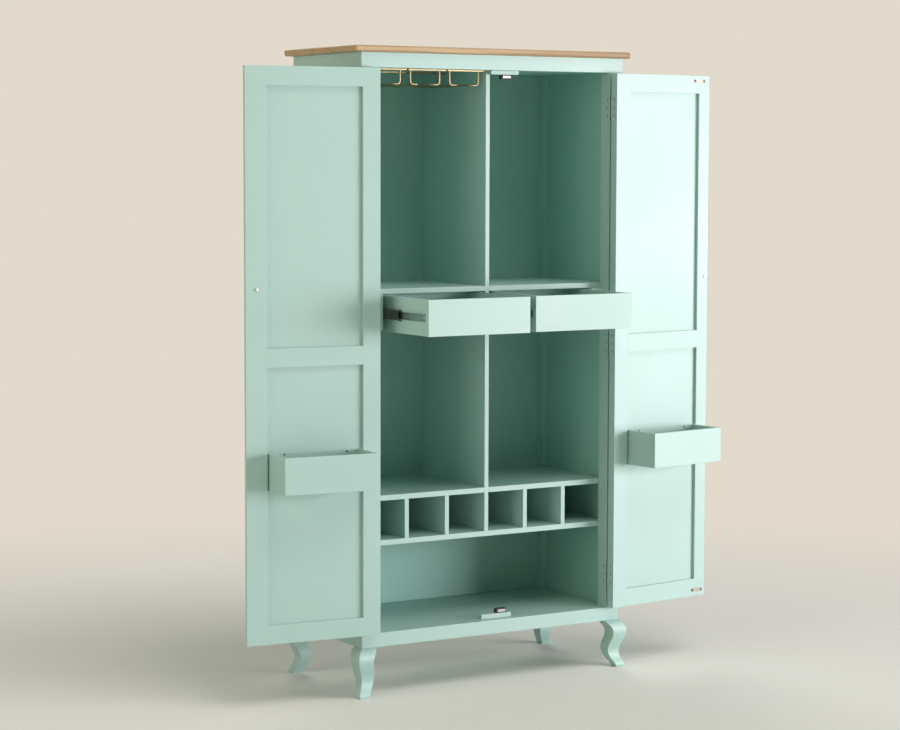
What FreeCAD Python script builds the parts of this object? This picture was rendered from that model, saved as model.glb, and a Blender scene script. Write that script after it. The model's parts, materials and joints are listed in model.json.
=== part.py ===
import FreeCAD, Part
import os
import re

import Sketcher

# Bar armoire on cabriole legs, drawn as it is photographed: both doors swung wide, both drawers pulled out.
# Lengths are millimetres, +X is to the right, +Y to the back, +Z up, and the floor is at zero height.
# Inside a frame, y counts from the plane of the front posts and x from the middle of the cabinet.

# Driving sizes
SIZES = {
    # carcass
    "carcass_width": 864,
    "carcass_depth": 400,
    "carcass_top": 1782,
    "front_post_width": 44,
    "front_post_depth": 44,
    "rear_post_width": 32,
    "rear_post_depth": 42,
    "rail_thickness": 22,
    "header_height": 41.5,
    "plinth_height": 39.5,
    "ceiling_thickness": 12,
    "bottom_board_thickness": 15,
    "side_panel_thickness": 8,
    "side_panel_recess": 5,
    "groove_depth": 8,
    "groove_clearance": 1,
    "back_panel_thickness": 9,
    "back_rabbet_width": 12,
    # top board
    "top_thickness": 18,
    "top_side_overhang": 23,
    "top_front_overhang": 10,
    "top_back_overhang": 15,
    "top_edge_radius": 6,
    # legs
    "leg_height": 139,
    "leg_width": 44,
    "leg_bulge": 18.3,
    "leg_bolt_radius": 4,
    "leg_bolt_inset": 31,
    "leg_bolt_reach": 35,
    "corner_block_width": 44,
    "corner_block_thickness": 16,
    "nut_radius": 7,
    "nut_thickness": 6,
    # partition, shelves and bottle rack
    "partition_thickness": 13,
    "divider_thickness": 13,
    "shelf_thickness": 15,
    "upper_shelf_height": 1133,
    "rack_top_height": 556,
    "rack_bottom_height": 430,
    # drawers and their slides
    "drawer_height": 100,
    "drawer_setback": 68,
    "drawer_rear_gap": 8,
    "drawer_top_gap": 3,
    "drawer_front_thickness": 15,
    "drawer_front_lap": 4,
    "drawer_side_thickness": 12,
    "drawer_bottom_thickness": 5,
    "drawer_bottom_lift": 8,
    "drawer_groove_depth": 5,
    "drawer_groove_clearance": 0.5,
    "left_drawer_short": 16,
    "right_drawer_short": 35,
    "packer_thickness": 38.5,
    "packer_height": 98,
    "packer_front_gap": 2,
    "packer_rear_gap": 20,
    "slide_space": 13,
    "slide_front_gap": 2,
    "slide_rear_gap": 8,
    "slide_gauge": 1.2,
    "slide_outer_height": 35,
    "slide_outer_reach": 9.5,
    "slide_middle_height": 27.2,
    "slide_middle_inset": 2.4,
    "slide_middle_reach": 8.1,
    "slide_inner_height": 20.8,
    "slide_inner_reach": 8,
    "cage_length": 140,
    "cage_width": 4,
    "cage_clearance": 0.3,
    "cage_end_gap": 2,
    "bumper_length": 6,
    "bumper_height": 33,
    "bumper_thickness": 6.2,
    "bumper_clearance": 0.5,
    # doors
    "door_thickness": 24,
    "door_end_gap": 2,
    "door_meeting_gap": 2,
    "meeting_lap": 9.5,
    "lap_clearance": 1,
    "left_door_angle": 185,
    "right_door_angle": 188.2,
    "stile_width": 51.5,
    "door_rail_height": 52,
    "mid_rail_height": 958,
    "door_panel_thickness": 6,
    "door_panel_setback": 9,
    # door hinges
    "hinge_gap": 2,
    "pin_offset": 3.8,
    "pin_radius": 2.5,
    "pin_clearance": 0.05,
    "knuckle_radius": 4.2,
    "knuckle_gap": 0.3,
    "hinge_height": 70,
    "hinge_end_distance": 63,
    "leaf_width": 18,
    "leaf_thickness": 2,
    "mortise_depth": 1.6,
    "mortise_clearance": 0.2,
    # door trays
    "tray_bottom": 600,
    "tray_height": 101,
    "tray_depth": 120,
    "tray_board": 9,
    "tray_clearance": 5.5,
    # door knobs
    "knob_height": 1143,
    "knob_edge_distance": 21,
    "knob_radius": 16,
    "knob_base_radius": 10,
    "knob_base_length": 3,
    "knob_neck_radius": 6.5,
    "knob_neck_length": 12,
    "knob_length": 27,
    "knob_round": 6,
    "knob_bolt_radius": 2,
    "knob_bolt_clearance": 0.2,
    "knob_bolt_reach": 14,
    "knob_bolt_head_radius": 4.5,
    "knob_bolt_head_height": 2.5,
    # magnetic catches
    "top_catch_place": 52,
    "bottom_catch_place": 42,
    "catch_length": 34,
    "catch_depth": 16,
    "catch_height": 13,
    "magnet_length": 26,
    "magnet_depth": 10,
    "magnet_height": 6,
    "magnet_gap": 0.3,
    "catch_lip": 1,
    "top_block_length": 92,
    "top_block_height": 11,
    "bottom_block_length": 100,
    "bottom_block_height": 13,
    "bottom_block_end": 15,
    "catch_block_depth": 17,
    "strike_length": 46,
    "strike_height": 10,
    "strike_thickness": 1,
    # stemware rack
    "wire_radius": 2.5,
    "wire_bend": 9,
    "hoop_width": 94,
    "hoop_drop": 42,
    "stem_gap": 37,
    "hoop_front": 60,
    "hoop_length": 220,
    "strap_length": 122,
    "strap_width": 30,
    "strap_thickness": 4,
    # how far a cutting shape runs past the piece it cuts
    "overrun": 1,
}

# Knuckles of a hinge, from the bottom up, belong to the post and the door by turns
KNUCKLE_COUNT = 5
POST_KNUCKLES = range(0, KNUCKLE_COUNT, 2)
DOOR_KNUCKLES = range(1, KNUCKLE_COUNT, 2)

# Sizes worked out from the driving ones
DERIVED = {
    "half_width": "carcass_width / 2",
    "opening_half": "half_width - front_post_width",
    "plinth_top": "leg_height + plinth_height",
    "header_bottom": "carcass_top - header_height",
    "opening_height": "header_bottom - plinth_top",
    "inner_half": "half_width - rail_thickness",
    "inner_depth": "carcass_depth - 2 * rail_thickness",
    "back_inner": "carcass_depth - back_panel_thickness",
    "rear_post_front": "carcass_depth - rear_post_depth",
    "rear_post_inner": "half_width - rear_post_width",
    "side_outer": "half_width - side_panel_recess",
    "side_inner": "side_outer - side_panel_thickness",
    "tongue": "groove_depth - groove_clearance",
    "shelf_front": "front_post_depth",
    "shelf_depth": "back_inner - shelf_front",
    "partition_half": "partition_thickness / 2",
    "cubby_width": "(opening_half - partition_half - 2 * divider_thickness) / 3",
    "shelf_underside": "upper_shelf_height - shelf_thickness",
    "packer_face": "opening_half - packer_thickness",
    "packer_front": "door_thickness + packer_front_gap",
    "packer_rear": "back_inner - packer_rear_gap",
    "drawer_inner": "partition_half + slide_space",
    "drawer_outer": "packer_face - slide_space",
    "drawer_top": "shelf_underside - drawer_top_gap",
    "drawer_base": "drawer_top - drawer_height",
    "drawer_back": "drawer_setback + drawer_front_thickness",
    "drawer_length": "back_inner - drawer_rear_gap - drawer_back",
    "slide_front": "drawer_back + slide_front_gap",
    "slide_length": "drawer_length - slide_front_gap - slide_rear_gap",
    "slide_level": "drawer_base + drawer_height / 2",
    "left_drawer_out": "slide_length - left_drawer_short",
    "right_drawer_out": "slide_length - right_drawer_short",
    "door_base": "plinth_top + door_end_gap",
    "door_top": "header_bottom - door_end_gap",
    "door_height": "door_top - door_base",
    "hinge_edge": "hinge_gap / 2",
    "door_width": "opening_half - hinge_gap - door_meeting_gap / 2",
    "free_edge": "hinge_edge + door_width",
    "pane_low": "hinge_edge + stile_width",
    "pane_high": "free_edge - stile_width",
    "lap_end": "free_edge + meeting_lap",
    "lap_start": "free_edge - meeting_lap",
    "lap_middle": "pin_offset + door_thickness / 2",
    "panel_face": "pin_offset + door_panel_setback",
    "panel_back": "panel_face + door_panel_thickness",
    "pin_x": "opening_half - hinge_gap / 2",
    "leaf_start": "knuckle_radius + knuckle_gap",
    "leaf_back": "hinge_gap / 2 + mortise_depth",
    "knuckle_length": f"hinge_height / {KNUCKLE_COUNT}",
    "catch_front": "door_thickness + strike_thickness + magnet_gap",
    "top_catch_level": "header_bottom - top_block_height - catch_height / 2",
    "bottom_catch_level": "plinth_top + bottom_block_height + catch_height / 2",
    "row_pitch": "(opening_half - partition_half) / 3",
    "front_y": "(left_drawer_out - drawer_setback - carcass_depth - leg_bulge) / 2",
}

# Outline of a cabriole leg from the top down: height, outer face and inner face
LEG_HEIGHT_SHARES = (1.0, 0.91, 0.77, 0.56, 0.36, 0.21, 0.09, 0.0)
LEG_OUTER_SHARES = (0.0, 0.71, 1.0, 0.6, 0.12, 0.27, 0.72, 0.75)
LEG_INNER_SHARES = (1.0, 0.86, 0.65, 0.75, 0.84, 0.68, 0.45, 0.3)

LEFT, RIGHT = -1, 1
SIDE_NAMES = {LEFT: "left", RIGHT: "right"}
ROWS_OF_GLASSES = 3

doc = FreeCAD.newDocument("bar_armoire")
sheet = doc.addObject("Spreadsheet::Sheet", "Sizes")
cells = {**SIZES, **{name: "=" + text for name, text in DERIVED.items()}}
for row, (name, content) in enumerate(cells.items(), start=1):
    sheet.set(f"A{row}", name)
    sheet.set(f"B{row}", str(content))
    sheet.setAlias(f"B{row}", name)
doc.recompute()

SIZE_WORDS = re.compile(r"\b(" + "|".join(cells) + r")\b")
nodes = []


def in_sheet(text):
    """Point every size named in an expression at its cell."""
    return SIZE_WORDS.sub(r"Sizes.\1", text)


def value(text):
    """The number that an expression in the sheet's sizes comes to."""
    return float(sheet.evalExpression(in_sheet(text)))


def bind(item, prop, text):
    """Tie a property to an expression in the sheet's sizes."""
    item.setExpression(prop, in_sheet(text))


def seat(item, place, angle=None):
    """Tie an object's place, and its turn about the vertical, to the sheet."""
    for axis, text in zip("xyz", place):
        bind(item, f"Placement.Base.{axis}", text)
    if angle is not None:
        bind(item, "Placement.Rotation.Angle", angle)


def group(label, frame, pieces):
    """Pieces held together, drawn in a frame that has a place and perhaps an angle."""
    compound = doc.addObject("Part::Compound", label)
    compound.Links = pieces
    seat(compound, *frame)
    return compound


def node(label, frame, pieces):
    """One named sub-part."""
    part = group(label, frame, pieces)
    part.Label = label
    nodes.append(part)


def board(name, x, y, z):
    """A board from its low and high expressions along each axis."""
    box = doc.addObject("Part::Box", name)
    for axis, prop, (low, high) in zip("xyz", ("Length", "Width", "Height"), (x, y, z)):
        bind(box, f"Placement.Base.{axis}", low)
        bind(box, prop, f"({high}) - ({low})")
    return box


def across(side, low, high):
    """A span along x, given outwards from the middle, on the left or the right."""
    return (low, high) if side == RIGHT else (f"-({high})", f"-({low})")


def cut(name, base, tools):
    """A piece less its grooves, notches and holes."""
    tool = doc.addObject("Part::Compound", name + "_tools")
    tool.Links = tools
    result = doc.addObject("Part::Cut", name)
    result.Base = base
    result.Tool = tool
    return result


def fuse(name, shapes):
    """Several shapes joined into one solid."""
    result = doc.addObject("Part::MultiFuse", name)
    result.Shapes = shapes
    result.Refine = True
    return result


def rod(name, place, radius, length, direction):
    """A cylinder from a place along a direction."""
    cylinder = doc.addObject("Part::Cylinder", name)
    cylinder.Placement.Rotation = FreeCAD.Rotation(FreeCAD.Vector(0, 0, 1), FreeCAD.Vector(*direction))
    seat(cylinder, place)
    bind(cylinder, "Radius", radius)
    bind(cylinder, "Height", length)
    return cylinder


def new_sketch(body, name, role, offset):
    """A sketch on one of its body's own planes, moved along the plane's normal."""
    plane = next(item for item in body.Origin.OriginFeatures if item.Role == role)
    sketch = body.newObject("Sketcher::SketchObject", name)
    sketch.AttachmentSupport = (plane, [""])
    sketch.MapMode = "FlatFace"
    bind(sketch, "AttachmentOffset.Base.z", offset)
    return sketch


def fix_point(sketch, geometry, position, point):
    """Tie one point of a sketch to its two expressions."""
    for kind, text in zip(("DistanceX", "DistanceY"), point):
        rule = Sketcher.Constraint(kind, -1, 1, geometry, position, value(text))
        bind(sketch, f"Constraints[{sketch.addConstraint(rule)}]", text)


def outline(body, name, role, points, offset="0"):
    """A closed outline of straight lines through points given as expressions."""
    sketch = new_sketch(body, name, role, offset)
    corners = [FreeCAD.Vector(value(x), value(y), 0) for x, y in points]
    follow = list(range(1, len(points))) + [0]
    for index, after in enumerate(follow):
        sketch.addGeometry(Part.LineSegment(corners[index], corners[after]))
    for index, after in enumerate(follow):
        sketch.addConstraint(Sketcher.Constraint("Coincident", index, 2, after, 1))
    for index, point in enumerate(points):
        fix_point(sketch, index, 1, point)
    return sketch


def disc(body, name, role, centre, radius, offset):
    """A circle at a centre given as expressions."""
    sketch = new_sketch(body, name, role, offset)
    middle = FreeCAD.Vector(*(value(text) for text in centre), 0)
    sketch.addGeometry(Part.Circle(middle, FreeCAD.Vector(0, 0, 1), value(radius)))
    fix_point(sketch, 0, 3, centre)
    rule = sketch.addConstraint(Sketcher.Constraint("Radius", 0, value(radius)))
    bind(sketch, f"Constraints[{rule}]", radius)
    return sketch


def new_body(name):
    """An empty body."""
    return doc.addObject("PartDesign::Body", name)


def pad(body, sketch, length, reverse=False):
    """An outline drawn out into a solid."""
    feature = body.newObject("PartDesign::Pad", body.Name + "_pad")
    feature.Profile = sketch
    feature.Reversed = reverse
    bind(feature, "Length", length)
    doc.recompute()
    return feature


def pocket(body, sketch, depth):
    """An outline cut into the body against the sketch's normal; the cut has to take something away."""
    before = body.Shape.Volume
    feature = body.newObject("PartDesign::Pocket", body.Name + "_pocket")
    feature.Profile = sketch
    bind(feature, "Length", depth)
    doc.recompute()
    if body.Shape.Volume >= before:
        raise RuntimeError(f"{feature.Label} cuts nothing")
    return feature


def round_edges(body, base, edges, radius):
    """Edges of a body's last feature rounded over."""
    feature = body.newObject("PartDesign::Fillet", body.Name + "_round")
    feature.Base = (base, edges)
    bind(feature, "Radius", radius)
    doc.recompute()
    return feature


CARCASS = (("0", "front_y", "0"),)
AT_PINS = {LEFT: (("-pin_x", "-pin_offset", "0"),), RIGHT: (("pin_x", "-pin_offset", "0"),)}
DOORS = {
    LEFT: (("-pin_x", "front_y - pin_offset", "0"), "-left_door_angle"),
    RIGHT: (("pin_x", "front_y - pin_offset", "0"), "right_door_angle"),
}
DRAWERS = {side: (("0", f"front_y - {SIDE_NAMES[side]}_drawer_out", "0"),) for side in SIDE_NAMES}
MIDDLES = {side: (("0", f"front_y - {SIDE_NAMES[side]}_drawer_out / 2", "0"),) for side in SIDE_NAMES}

# heights where the three hinges of each door start
HINGE_STARTS = (
    "door_base + hinge_end_distance",
    "mid_rail_height - hinge_height / 2",
    "door_top - hinge_end_distance - hinge_height",
)


def make_top():
    """The bare wooden top: a slab that overhangs all round, with rounded edges."""
    body = new_body("top_slab")
    left, right = "-half_width - top_side_overhang", "half_width + top_side_overhang"
    front, back = "-top_front_overhang", "carcass_depth + top_back_overhang"
    corners = [(left, front), (right, front), (right, back), (left, back)]
    slab = pad(body, outline(body, "top_outline", "XY_Plane", corners, "carcass_top"), "top_thickness")
    edges = [f"Edge{index}" for index in range(1, len(slab.Shape.Edges) + 1)]
    round_edges(body, slab, edges, "top_edge_radius")
    node("top_board", CARCASS, [body])


def make_frames():
    """The two frames of rails, over and under the posts, with the boards that they hold."""
    width = ("-half_width", "half_width")
    front = ("0", "rail_thickness")
    back = ("carcass_depth - rail_thickness", "carcass_depth")
    between = ("rail_thickness", "carcass_depth - rail_thickness")
    header = ("header_bottom", "carcass_top")
    plinth = ("leg_height", "plinth_top")
    panel = ("side_inner", "side_outer")
    upper_groove = ("header_bottom - overrun", "header_bottom + groove_depth")
    lower_groove = ("plinth_top - groove_depth", "plinth_top + overrun")
    node("header_rail", CARCASS, [board("header", width, front, header)])
    node("plinth_rail", CARCASS, [board("plinth", width, front, plinth)])
    for label, level, groove in (
        ("top_frame_rails", header, upper_groove),
        ("plinth_frame_rails", plinth, lower_groove),
    ):
        rails = [board(f"{label}_back", width, back, level)]
        for side, word in SIDE_NAMES.items():
            blank = board(f"{label}_{word}_blank", across(side, "inner_half", "half_width"), between, level)
            slot = board(f"{label}_{word}_groove", across(side, *panel), between, groove)
            rails.append(cut(f"{label}_{word}", blank, [slot]))
        node(label, CARCASS, rails)
    inside = ("-inner_half", "inner_half")
    ceiling = ("header_bottom", "header_bottom + ceiling_thickness")
    floor = ("plinth_top - bottom_board_thickness", "plinth_top")
    node("ceiling_board", CARCASS, [board("ceiling", inside, between, ceiling)])
    node("bottom_board", CARCASS, [board("bottom", inside, between, floor)])


def make_posts():
    """The posts, grooved for the side panels; those in front are let in for the hinges."""
    height = ("plinth_top", "header_bottom")
    tall = ("plinth_top - overrun", "header_bottom + overrun")
    rear_posts = []
    for side, word in SIDE_NAMES.items():
        panel = across(side, "side_inner", "side_outer")
        blank = board(
            f"front_blank_{word}",
            across(side, "opening_half", "half_width"), ("0", "front_post_depth"), height,
        )
        rear_face = ("front_post_depth - groove_depth", "front_post_depth + overrun")
        tools = [board(f"front_groove_{word}", panel, rear_face, tall)]
        for index, start in enumerate(HINGE_STARTS):
            tools.append(board(
                f"post_mortise_{word}_{index}",
                across(side, "opening_half - overrun", "opening_half + mortise_depth"),
                ("-overrun", "leaf_start + leaf_width - pin_offset + mortise_clearance"),
                (f"{start} - mortise_clearance", f"{start} + hinge_height + mortise_clearance"),
            ))
        node(f"front_post_{word}", CARCASS, [cut(f"front_{word}", blank, tools)])
        blank = board(
            f"rear_blank_{word}",
            across(side, "rear_post_inner", "half_width"), ("rear_post_front", "carcass_depth"), height,
        )
        front_face = ("rear_post_front - overrun", "rear_post_front + groove_depth")
        rabbet = across(side, "rear_post_inner - overrun", "rear_post_inner + back_rabbet_width")
        behind = ("back_inner", "carcass_depth + overrun")
        rear_posts.append(cut(f"rear_{word}", blank, [
            board(f"rear_groove_{word}", panel, front_face, tall),
            board(f"rear_rabbet_{word}", rabbet, behind, tall),
        ]))
    node("rear_posts", CARCASS, rear_posts)


def make_panels():
    """The side panels in their grooves and the back panel in its rabbets."""
    for side, word in SIDE_NAMES.items():
        sheet_depth = ("front_post_depth - tongue", "rear_post_front + tongue")
        sheet_height = ("plinth_top - tongue", "header_bottom + tongue")
        panel = board(
            f"side_sheet_{word}", across(side, "side_inner", "side_outer"), sheet_depth, sheet_height
        )
        node(f"side_panel_{word}", CARCASS, [panel])
    reach = "rear_post_inner + back_rabbet_width"
    back = board(
        "back_sheet", (f"-({reach})", reach), ("back_inner", "carcass_depth"),
        ("plinth_top", "header_bottom"),
    )
    node("back_panel", CARCASS, [back])


def shelf(name, sides, top):
    """A shelf from behind the front posts to the back, notched round the rear posts."""
    depth = ("shelf_front", "back_inner")
    level = (f"{top} - shelf_thickness", top)
    span = ("-side_inner", "side_inner")
    if len(sides) == 1:
        span = across(*sides, "partition_half", "side_inner")
    notches = [
        board(
            f"{name}_notch_{SIDE_NAMES[side]}",
            across(side, "rear_post_inner", "side_inner + overrun"),
            ("rear_post_front", "back_inner + overrun"),
            (f"{top} - shelf_thickness - overrun", f"{top} + overrun"),
        )
        for side in sides
    ]
    return cut(name, board(f"{name}_blank", span, depth, level), notches)


def make_inside():
    """The partition, the shelves, and the bottle rack with its dividers."""
    depth = ("shelf_front", "back_inner")
    partition = board(
        "partition", ("-partition_half", "partition_half"), depth, ("rack_bottom_height", "header_bottom")
    )
    node("centre_partition", CARCASS, [partition])
    uppers, rack_tops, dividers = [], [], []
    for side, word in SIDE_NAMES.items():
        uppers.append(shelf(f"upper_{word}", (side,), "upper_shelf_height"))
        rack_tops.append(shelf(f"rack_top_{word}", (side,), "rack_top_height"))
        for count in (1, 2):
            low = f"partition_half + {count} * cubby_width + {count - 1} * divider_thickness"
            span = across(side, low, f"{low} + divider_thickness")
            height = ("rack_bottom_height", "rack_top_height - shelf_thickness")
            dividers.append(board(f"divider_{word}_{count}", span, depth, height))
    node("upper_shelves", CARCASS, uppers)
    node("rack_top_shelves", CARCASS, rack_tops)
    node("rack_bottom_shelf", CARCASS, [shelf("rack_bottom", (LEFT, RIGHT), "rack_bottom_height")])
    node("rack_dividers", CARCASS, dividers)


def make_legs():
    """Four cabriole legs of square section, lofted through squares that sway in and out, bolted on."""
    bolts, blocks = [], []
    corners = {
        "rear_right": (RIGHT, "carcass_depth", "0", "carcass_depth - leg_bolt_inset"),
        "rear_left": (LEFT, "carcass_depth", "90", "carcass_depth - leg_bolt_inset"),
        "front_left": (LEFT, "0", "180", "leg_bolt_inset"),
        "front_right": (RIGHT, "0", "270", "leg_bolt_inset"),
    }
    for word, (side, y, turn, bolt_y) in corners.items():
        body = new_body(f"leg_{word}_body")
        sections = []
        for index, (level, outer, inner) in enumerate(
            zip(LEG_HEIGHT_SHARES, LEG_OUTER_SHARES, LEG_INNER_SHARES)
        ):
            far, near = f"{outer} * leg_bulge", f"-{inner} * leg_width"
            square = [(near, near), (far, near), (far, far), (near, far)]
            name = f"leg_{word}_section_{index}"
            sections.append(outline(body, name, "XY_Plane", square, f"{level} * leg_height"))
        doc.recompute()
        loft = body.newObject("PartDesign::AdditiveLoft", f"leg_{word}_loft")
        loft.Profile = sections[0]
        loft.Sections = sections[1:]
        doc.recompute()
        bore = disc(
            body, f"leg_{word}_bore", "XY_Plane", ("-leg_bolt_inset", "-leg_bolt_inset"),
            "leg_bolt_radius", "leg_height",
        )
        pocket(body, bore, "leg_bolt_reach")
        seat(body, (across(side, "half_width", "half_width")[0], y, "0"), turn)
        node(f"leg_{word}", CARCASS, [body])
        bolt_x = across(side, "half_width - leg_bolt_inset", "half_width")[side == LEFT]
        block_top = "leg_height + corner_block_thickness"
        shank = rod(
            f"shank_{word}", (bolt_x, bolt_y, "leg_height - leg_bolt_reach"), "leg_bolt_radius",
            "leg_bolt_reach + corner_block_thickness + nut_thickness", (0, 0, 1),
        )
        nut = rod(f"nut_{word}", (bolt_x, bolt_y, block_top), "nut_radius", "nut_thickness", (0, 0, 1))
        bolts.append(fuse(f"bolt_{word}", [shank, nut]))
        if y == "0":
            block_depth = ("rail_thickness", "rail_thickness + corner_block_width")
        else:
            edge = "carcass_depth - rail_thickness"
            block_depth = (f"{edge} - corner_block_width", edge)
        block_span = across(side, "inner_half - corner_block_width", "inner_half")
        blank = board(f"block_blank_{word}", block_span, block_depth, ("leg_height", block_top))
        hole = rod(
            f"block_hole_{word}", (bolt_x, bolt_y, "leg_height - overrun"), "leg_bolt_radius",
            "corner_block_thickness + 2 * overrun", (0, 0, 1),
        )
        blocks.append(cut(f"block_{word}", blank, [hole]))
    node("leg_bolts", CARCASS, bolts)
    node("corner_blocks", CARCASS, blocks)


def channel(name, wall, away, low, high, height, web_at_wall):
    """A slide member: a channel of sheet steel along y, drawn from its wall towards the drawer."""
    def at(reach):
        return f"{wall} + {reach}" if away == RIGHT else f"{wall} - ({reach})"

    edge = f"({height}) / 2"
    web, tip = (low, high) if web_at_wall else (high, low)
    web_inner = f"{web} + slide_gauge" if web_at_wall else f"{web} - slide_gauge"
    shape = [
        (at(web), f"slide_level - {edge}"),
        (at(tip), f"slide_level - {edge}"),
        (at(tip), f"slide_level - {edge} + slide_gauge"),
        (at(web_inner), f"slide_level - {edge} + slide_gauge"),
        (at(web_inner), f"slide_level + {edge} - slide_gauge"),
        (at(tip), f"slide_level + {edge} - slide_gauge"),
        (at(tip), f"slide_level + {edge}"),
        (at(web), f"slide_level + {edge}"),
    ]
    body = new_body(name)
    pad(body, outline(body, name + "_outline", "XZ_Plane", shape, "-slide_front"), "slide_length", True)
    return body


def race_strips(name, wall, away, span, depth, race):
    """A pair of strips, above and below a slide's middle line, that fill a race between two members."""
    reaches = span if away == RIGHT else reversed(span)
    sign = "+" if away == RIGHT else "-"
    x = tuple(f"{wall} {sign} ({reach})" for reach in reaches)
    near, far = race
    return [
        board(f"{name}_upper", x, depth, (f"slide_level + ({near})", f"slide_level + ({far})")),
        board(f"{name}_lower", x, depth, (f"slide_level - ({far})", f"slide_level - ({near})")),
    ]


def make_slides():
    """Ball-bearing slides in three members, between the drawers and the partition or the packers."""
    packers, outers = [], []
    middle_high = "slide_middle_inset + slide_middle_reach"
    outer_race = (
        "slide_middle_height / 2 + cage_clearance", "slide_outer_height / 2 - slide_gauge - cage_clearance"
    )
    inner_race = (
        "slide_inner_height / 2 + cage_clearance", "slide_middle_height / 2 - slide_gauge - cage_clearance"
    )
    outer_cage_span = (f"{middle_high} - 2 * cage_width", f"{middle_high} - cage_width")
    inner_cage_span = (f"{middle_high} - cage_width", middle_high)
    slide_end = "slide_front + slide_length - cage_end_gap"
    rear_run = (f"{slide_end} - cage_length", slide_end)
    front_run = ("slide_front + cage_end_gap", "slide_front + cage_end_gap + cage_length")
    bumper_span = ("slide_middle_inset", "slide_middle_inset + bumper_thickness")
    bumper_run = ("slide_front - bumper_length", "slide_front")
    bumper_race = ("slide_inner_height / 2 + bumper_clearance", "bumper_height / 2")
    for side, word in SIDE_NAMES.items():
        packers.append(board(
            f"packer_{word}", across(side, "packer_face", "opening_half"),
            ("packer_front", "packer_rear"),
            ("shelf_underside - packer_height", "shelf_underside"),
        ))
        middles, inners, cages = [], [], []
        walls = (("partition_half", side, "inside"), ("packer_face", -side, "outside"))
        for face, away, place in walls:
            wall = across(side, face, face)[0]
            name = f"{word}_{place}"
            outers.append(channel(
                f"outer_{name}", wall, away, "0", "slide_outer_reach", "slide_outer_height", True
            ))
            middles.append(channel(
                f"middle_{name}", wall, away, "slide_middle_inset", middle_high, "slide_middle_height", True
            ))
            inners.append(channel(
                f"inner_{name}", wall, away, "slide_space - slide_inner_reach", "slide_space",
                "slide_inner_height", False,
            ))
            cages += race_strips(f"outer_cage_{name}", wall, away, outer_cage_span, rear_run, outer_race)
            cages += race_strips(f"inner_cage_{name}", wall, away, inner_cage_span, front_run, inner_race)
            cages += race_strips(f"bumper_{name}", wall, away, bumper_span, bumper_run, bumper_race)
        node(f"{word}_slide_inner_members", DRAWERS[side], inners)
        node(f"{word}_slide_middle_members", MIDDLES[side], middles)
        node(f"{word}_slide_ball_cages", MIDDLES[side], cages)
    node("slide_packers", CARCASS, packers)
    node("slide_outer_members", CARCASS, outers)


def make_drawers():
    """Two drawers: a front that laps the box, sides and back, and a thin bottom held in grooves."""
    height = ("drawer_base", "drawer_top")
    length = ("drawer_back", "drawer_back + drawer_length")
    bottom = "drawer_base + drawer_bottom_lift"
    bottom_level = (bottom, f"{bottom} + drawer_bottom_thickness")
    groove_run = ("drawer_back - drawer_groove_depth", "drawer_back + drawer_length + overrun")
    inside = ("drawer_inner + drawer_side_thickness", "drawer_outer - drawer_side_thickness")
    grooved = (f"{inside[0]} - drawer_groove_depth", f"{inside[1]} + drawer_groove_depth")
    tongue = "drawer_groove_depth - drawer_groove_clearance"
    for side, word in SIDE_NAMES.items():
        frame = DRAWERS[side]
        groove = board(f"{word}_drawer_groove", across(side, *grooved), groove_run, bottom_level)
        face = board(
            f"{word}_face_blank",
            across(side, "drawer_inner - drawer_front_lap", "drawer_outer + drawer_front_lap"),
            ("drawer_setback", "drawer_back"), height,
        )
        node(f"{word}_drawer_front", frame, [cut(f"{word}_face", face, [groove])])
        walls = []
        spans = {"inside": ("drawer_inner", inside[0]), "outside": (inside[1], "drawer_outer")}
        for place, span in spans.items():
            blank = board(f"{word}_{place}_blank", across(side, *span), length, height)
            walls.append(cut(f"{word}_{place}_wall", blank, [groove]))
        rear = ("drawer_back + drawer_length - drawer_side_thickness", "drawer_back + drawer_length")
        above = (bottom_level[1], "drawer_top")
        walls.append(board(f"{word}_rear_wall", across(side, *inside), rear, above))
        node(f"{word}_drawer_box", frame, walls)
        base_span = across(side, f"{inside[0]} - ({tongue})", f"{inside[1]} + ({tongue})")
        base_run = (f"drawer_back - ({tongue})", "drawer_back + drawer_length")
        node(f"{word}_drawer_bottom", frame, [board(f"{word}_base", base_span, base_run, bottom_level)])


def from_pin(side, low, high):
    """A span along a door, from its hinge pin towards its free edge."""
    return across(-side, low, high)


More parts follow.
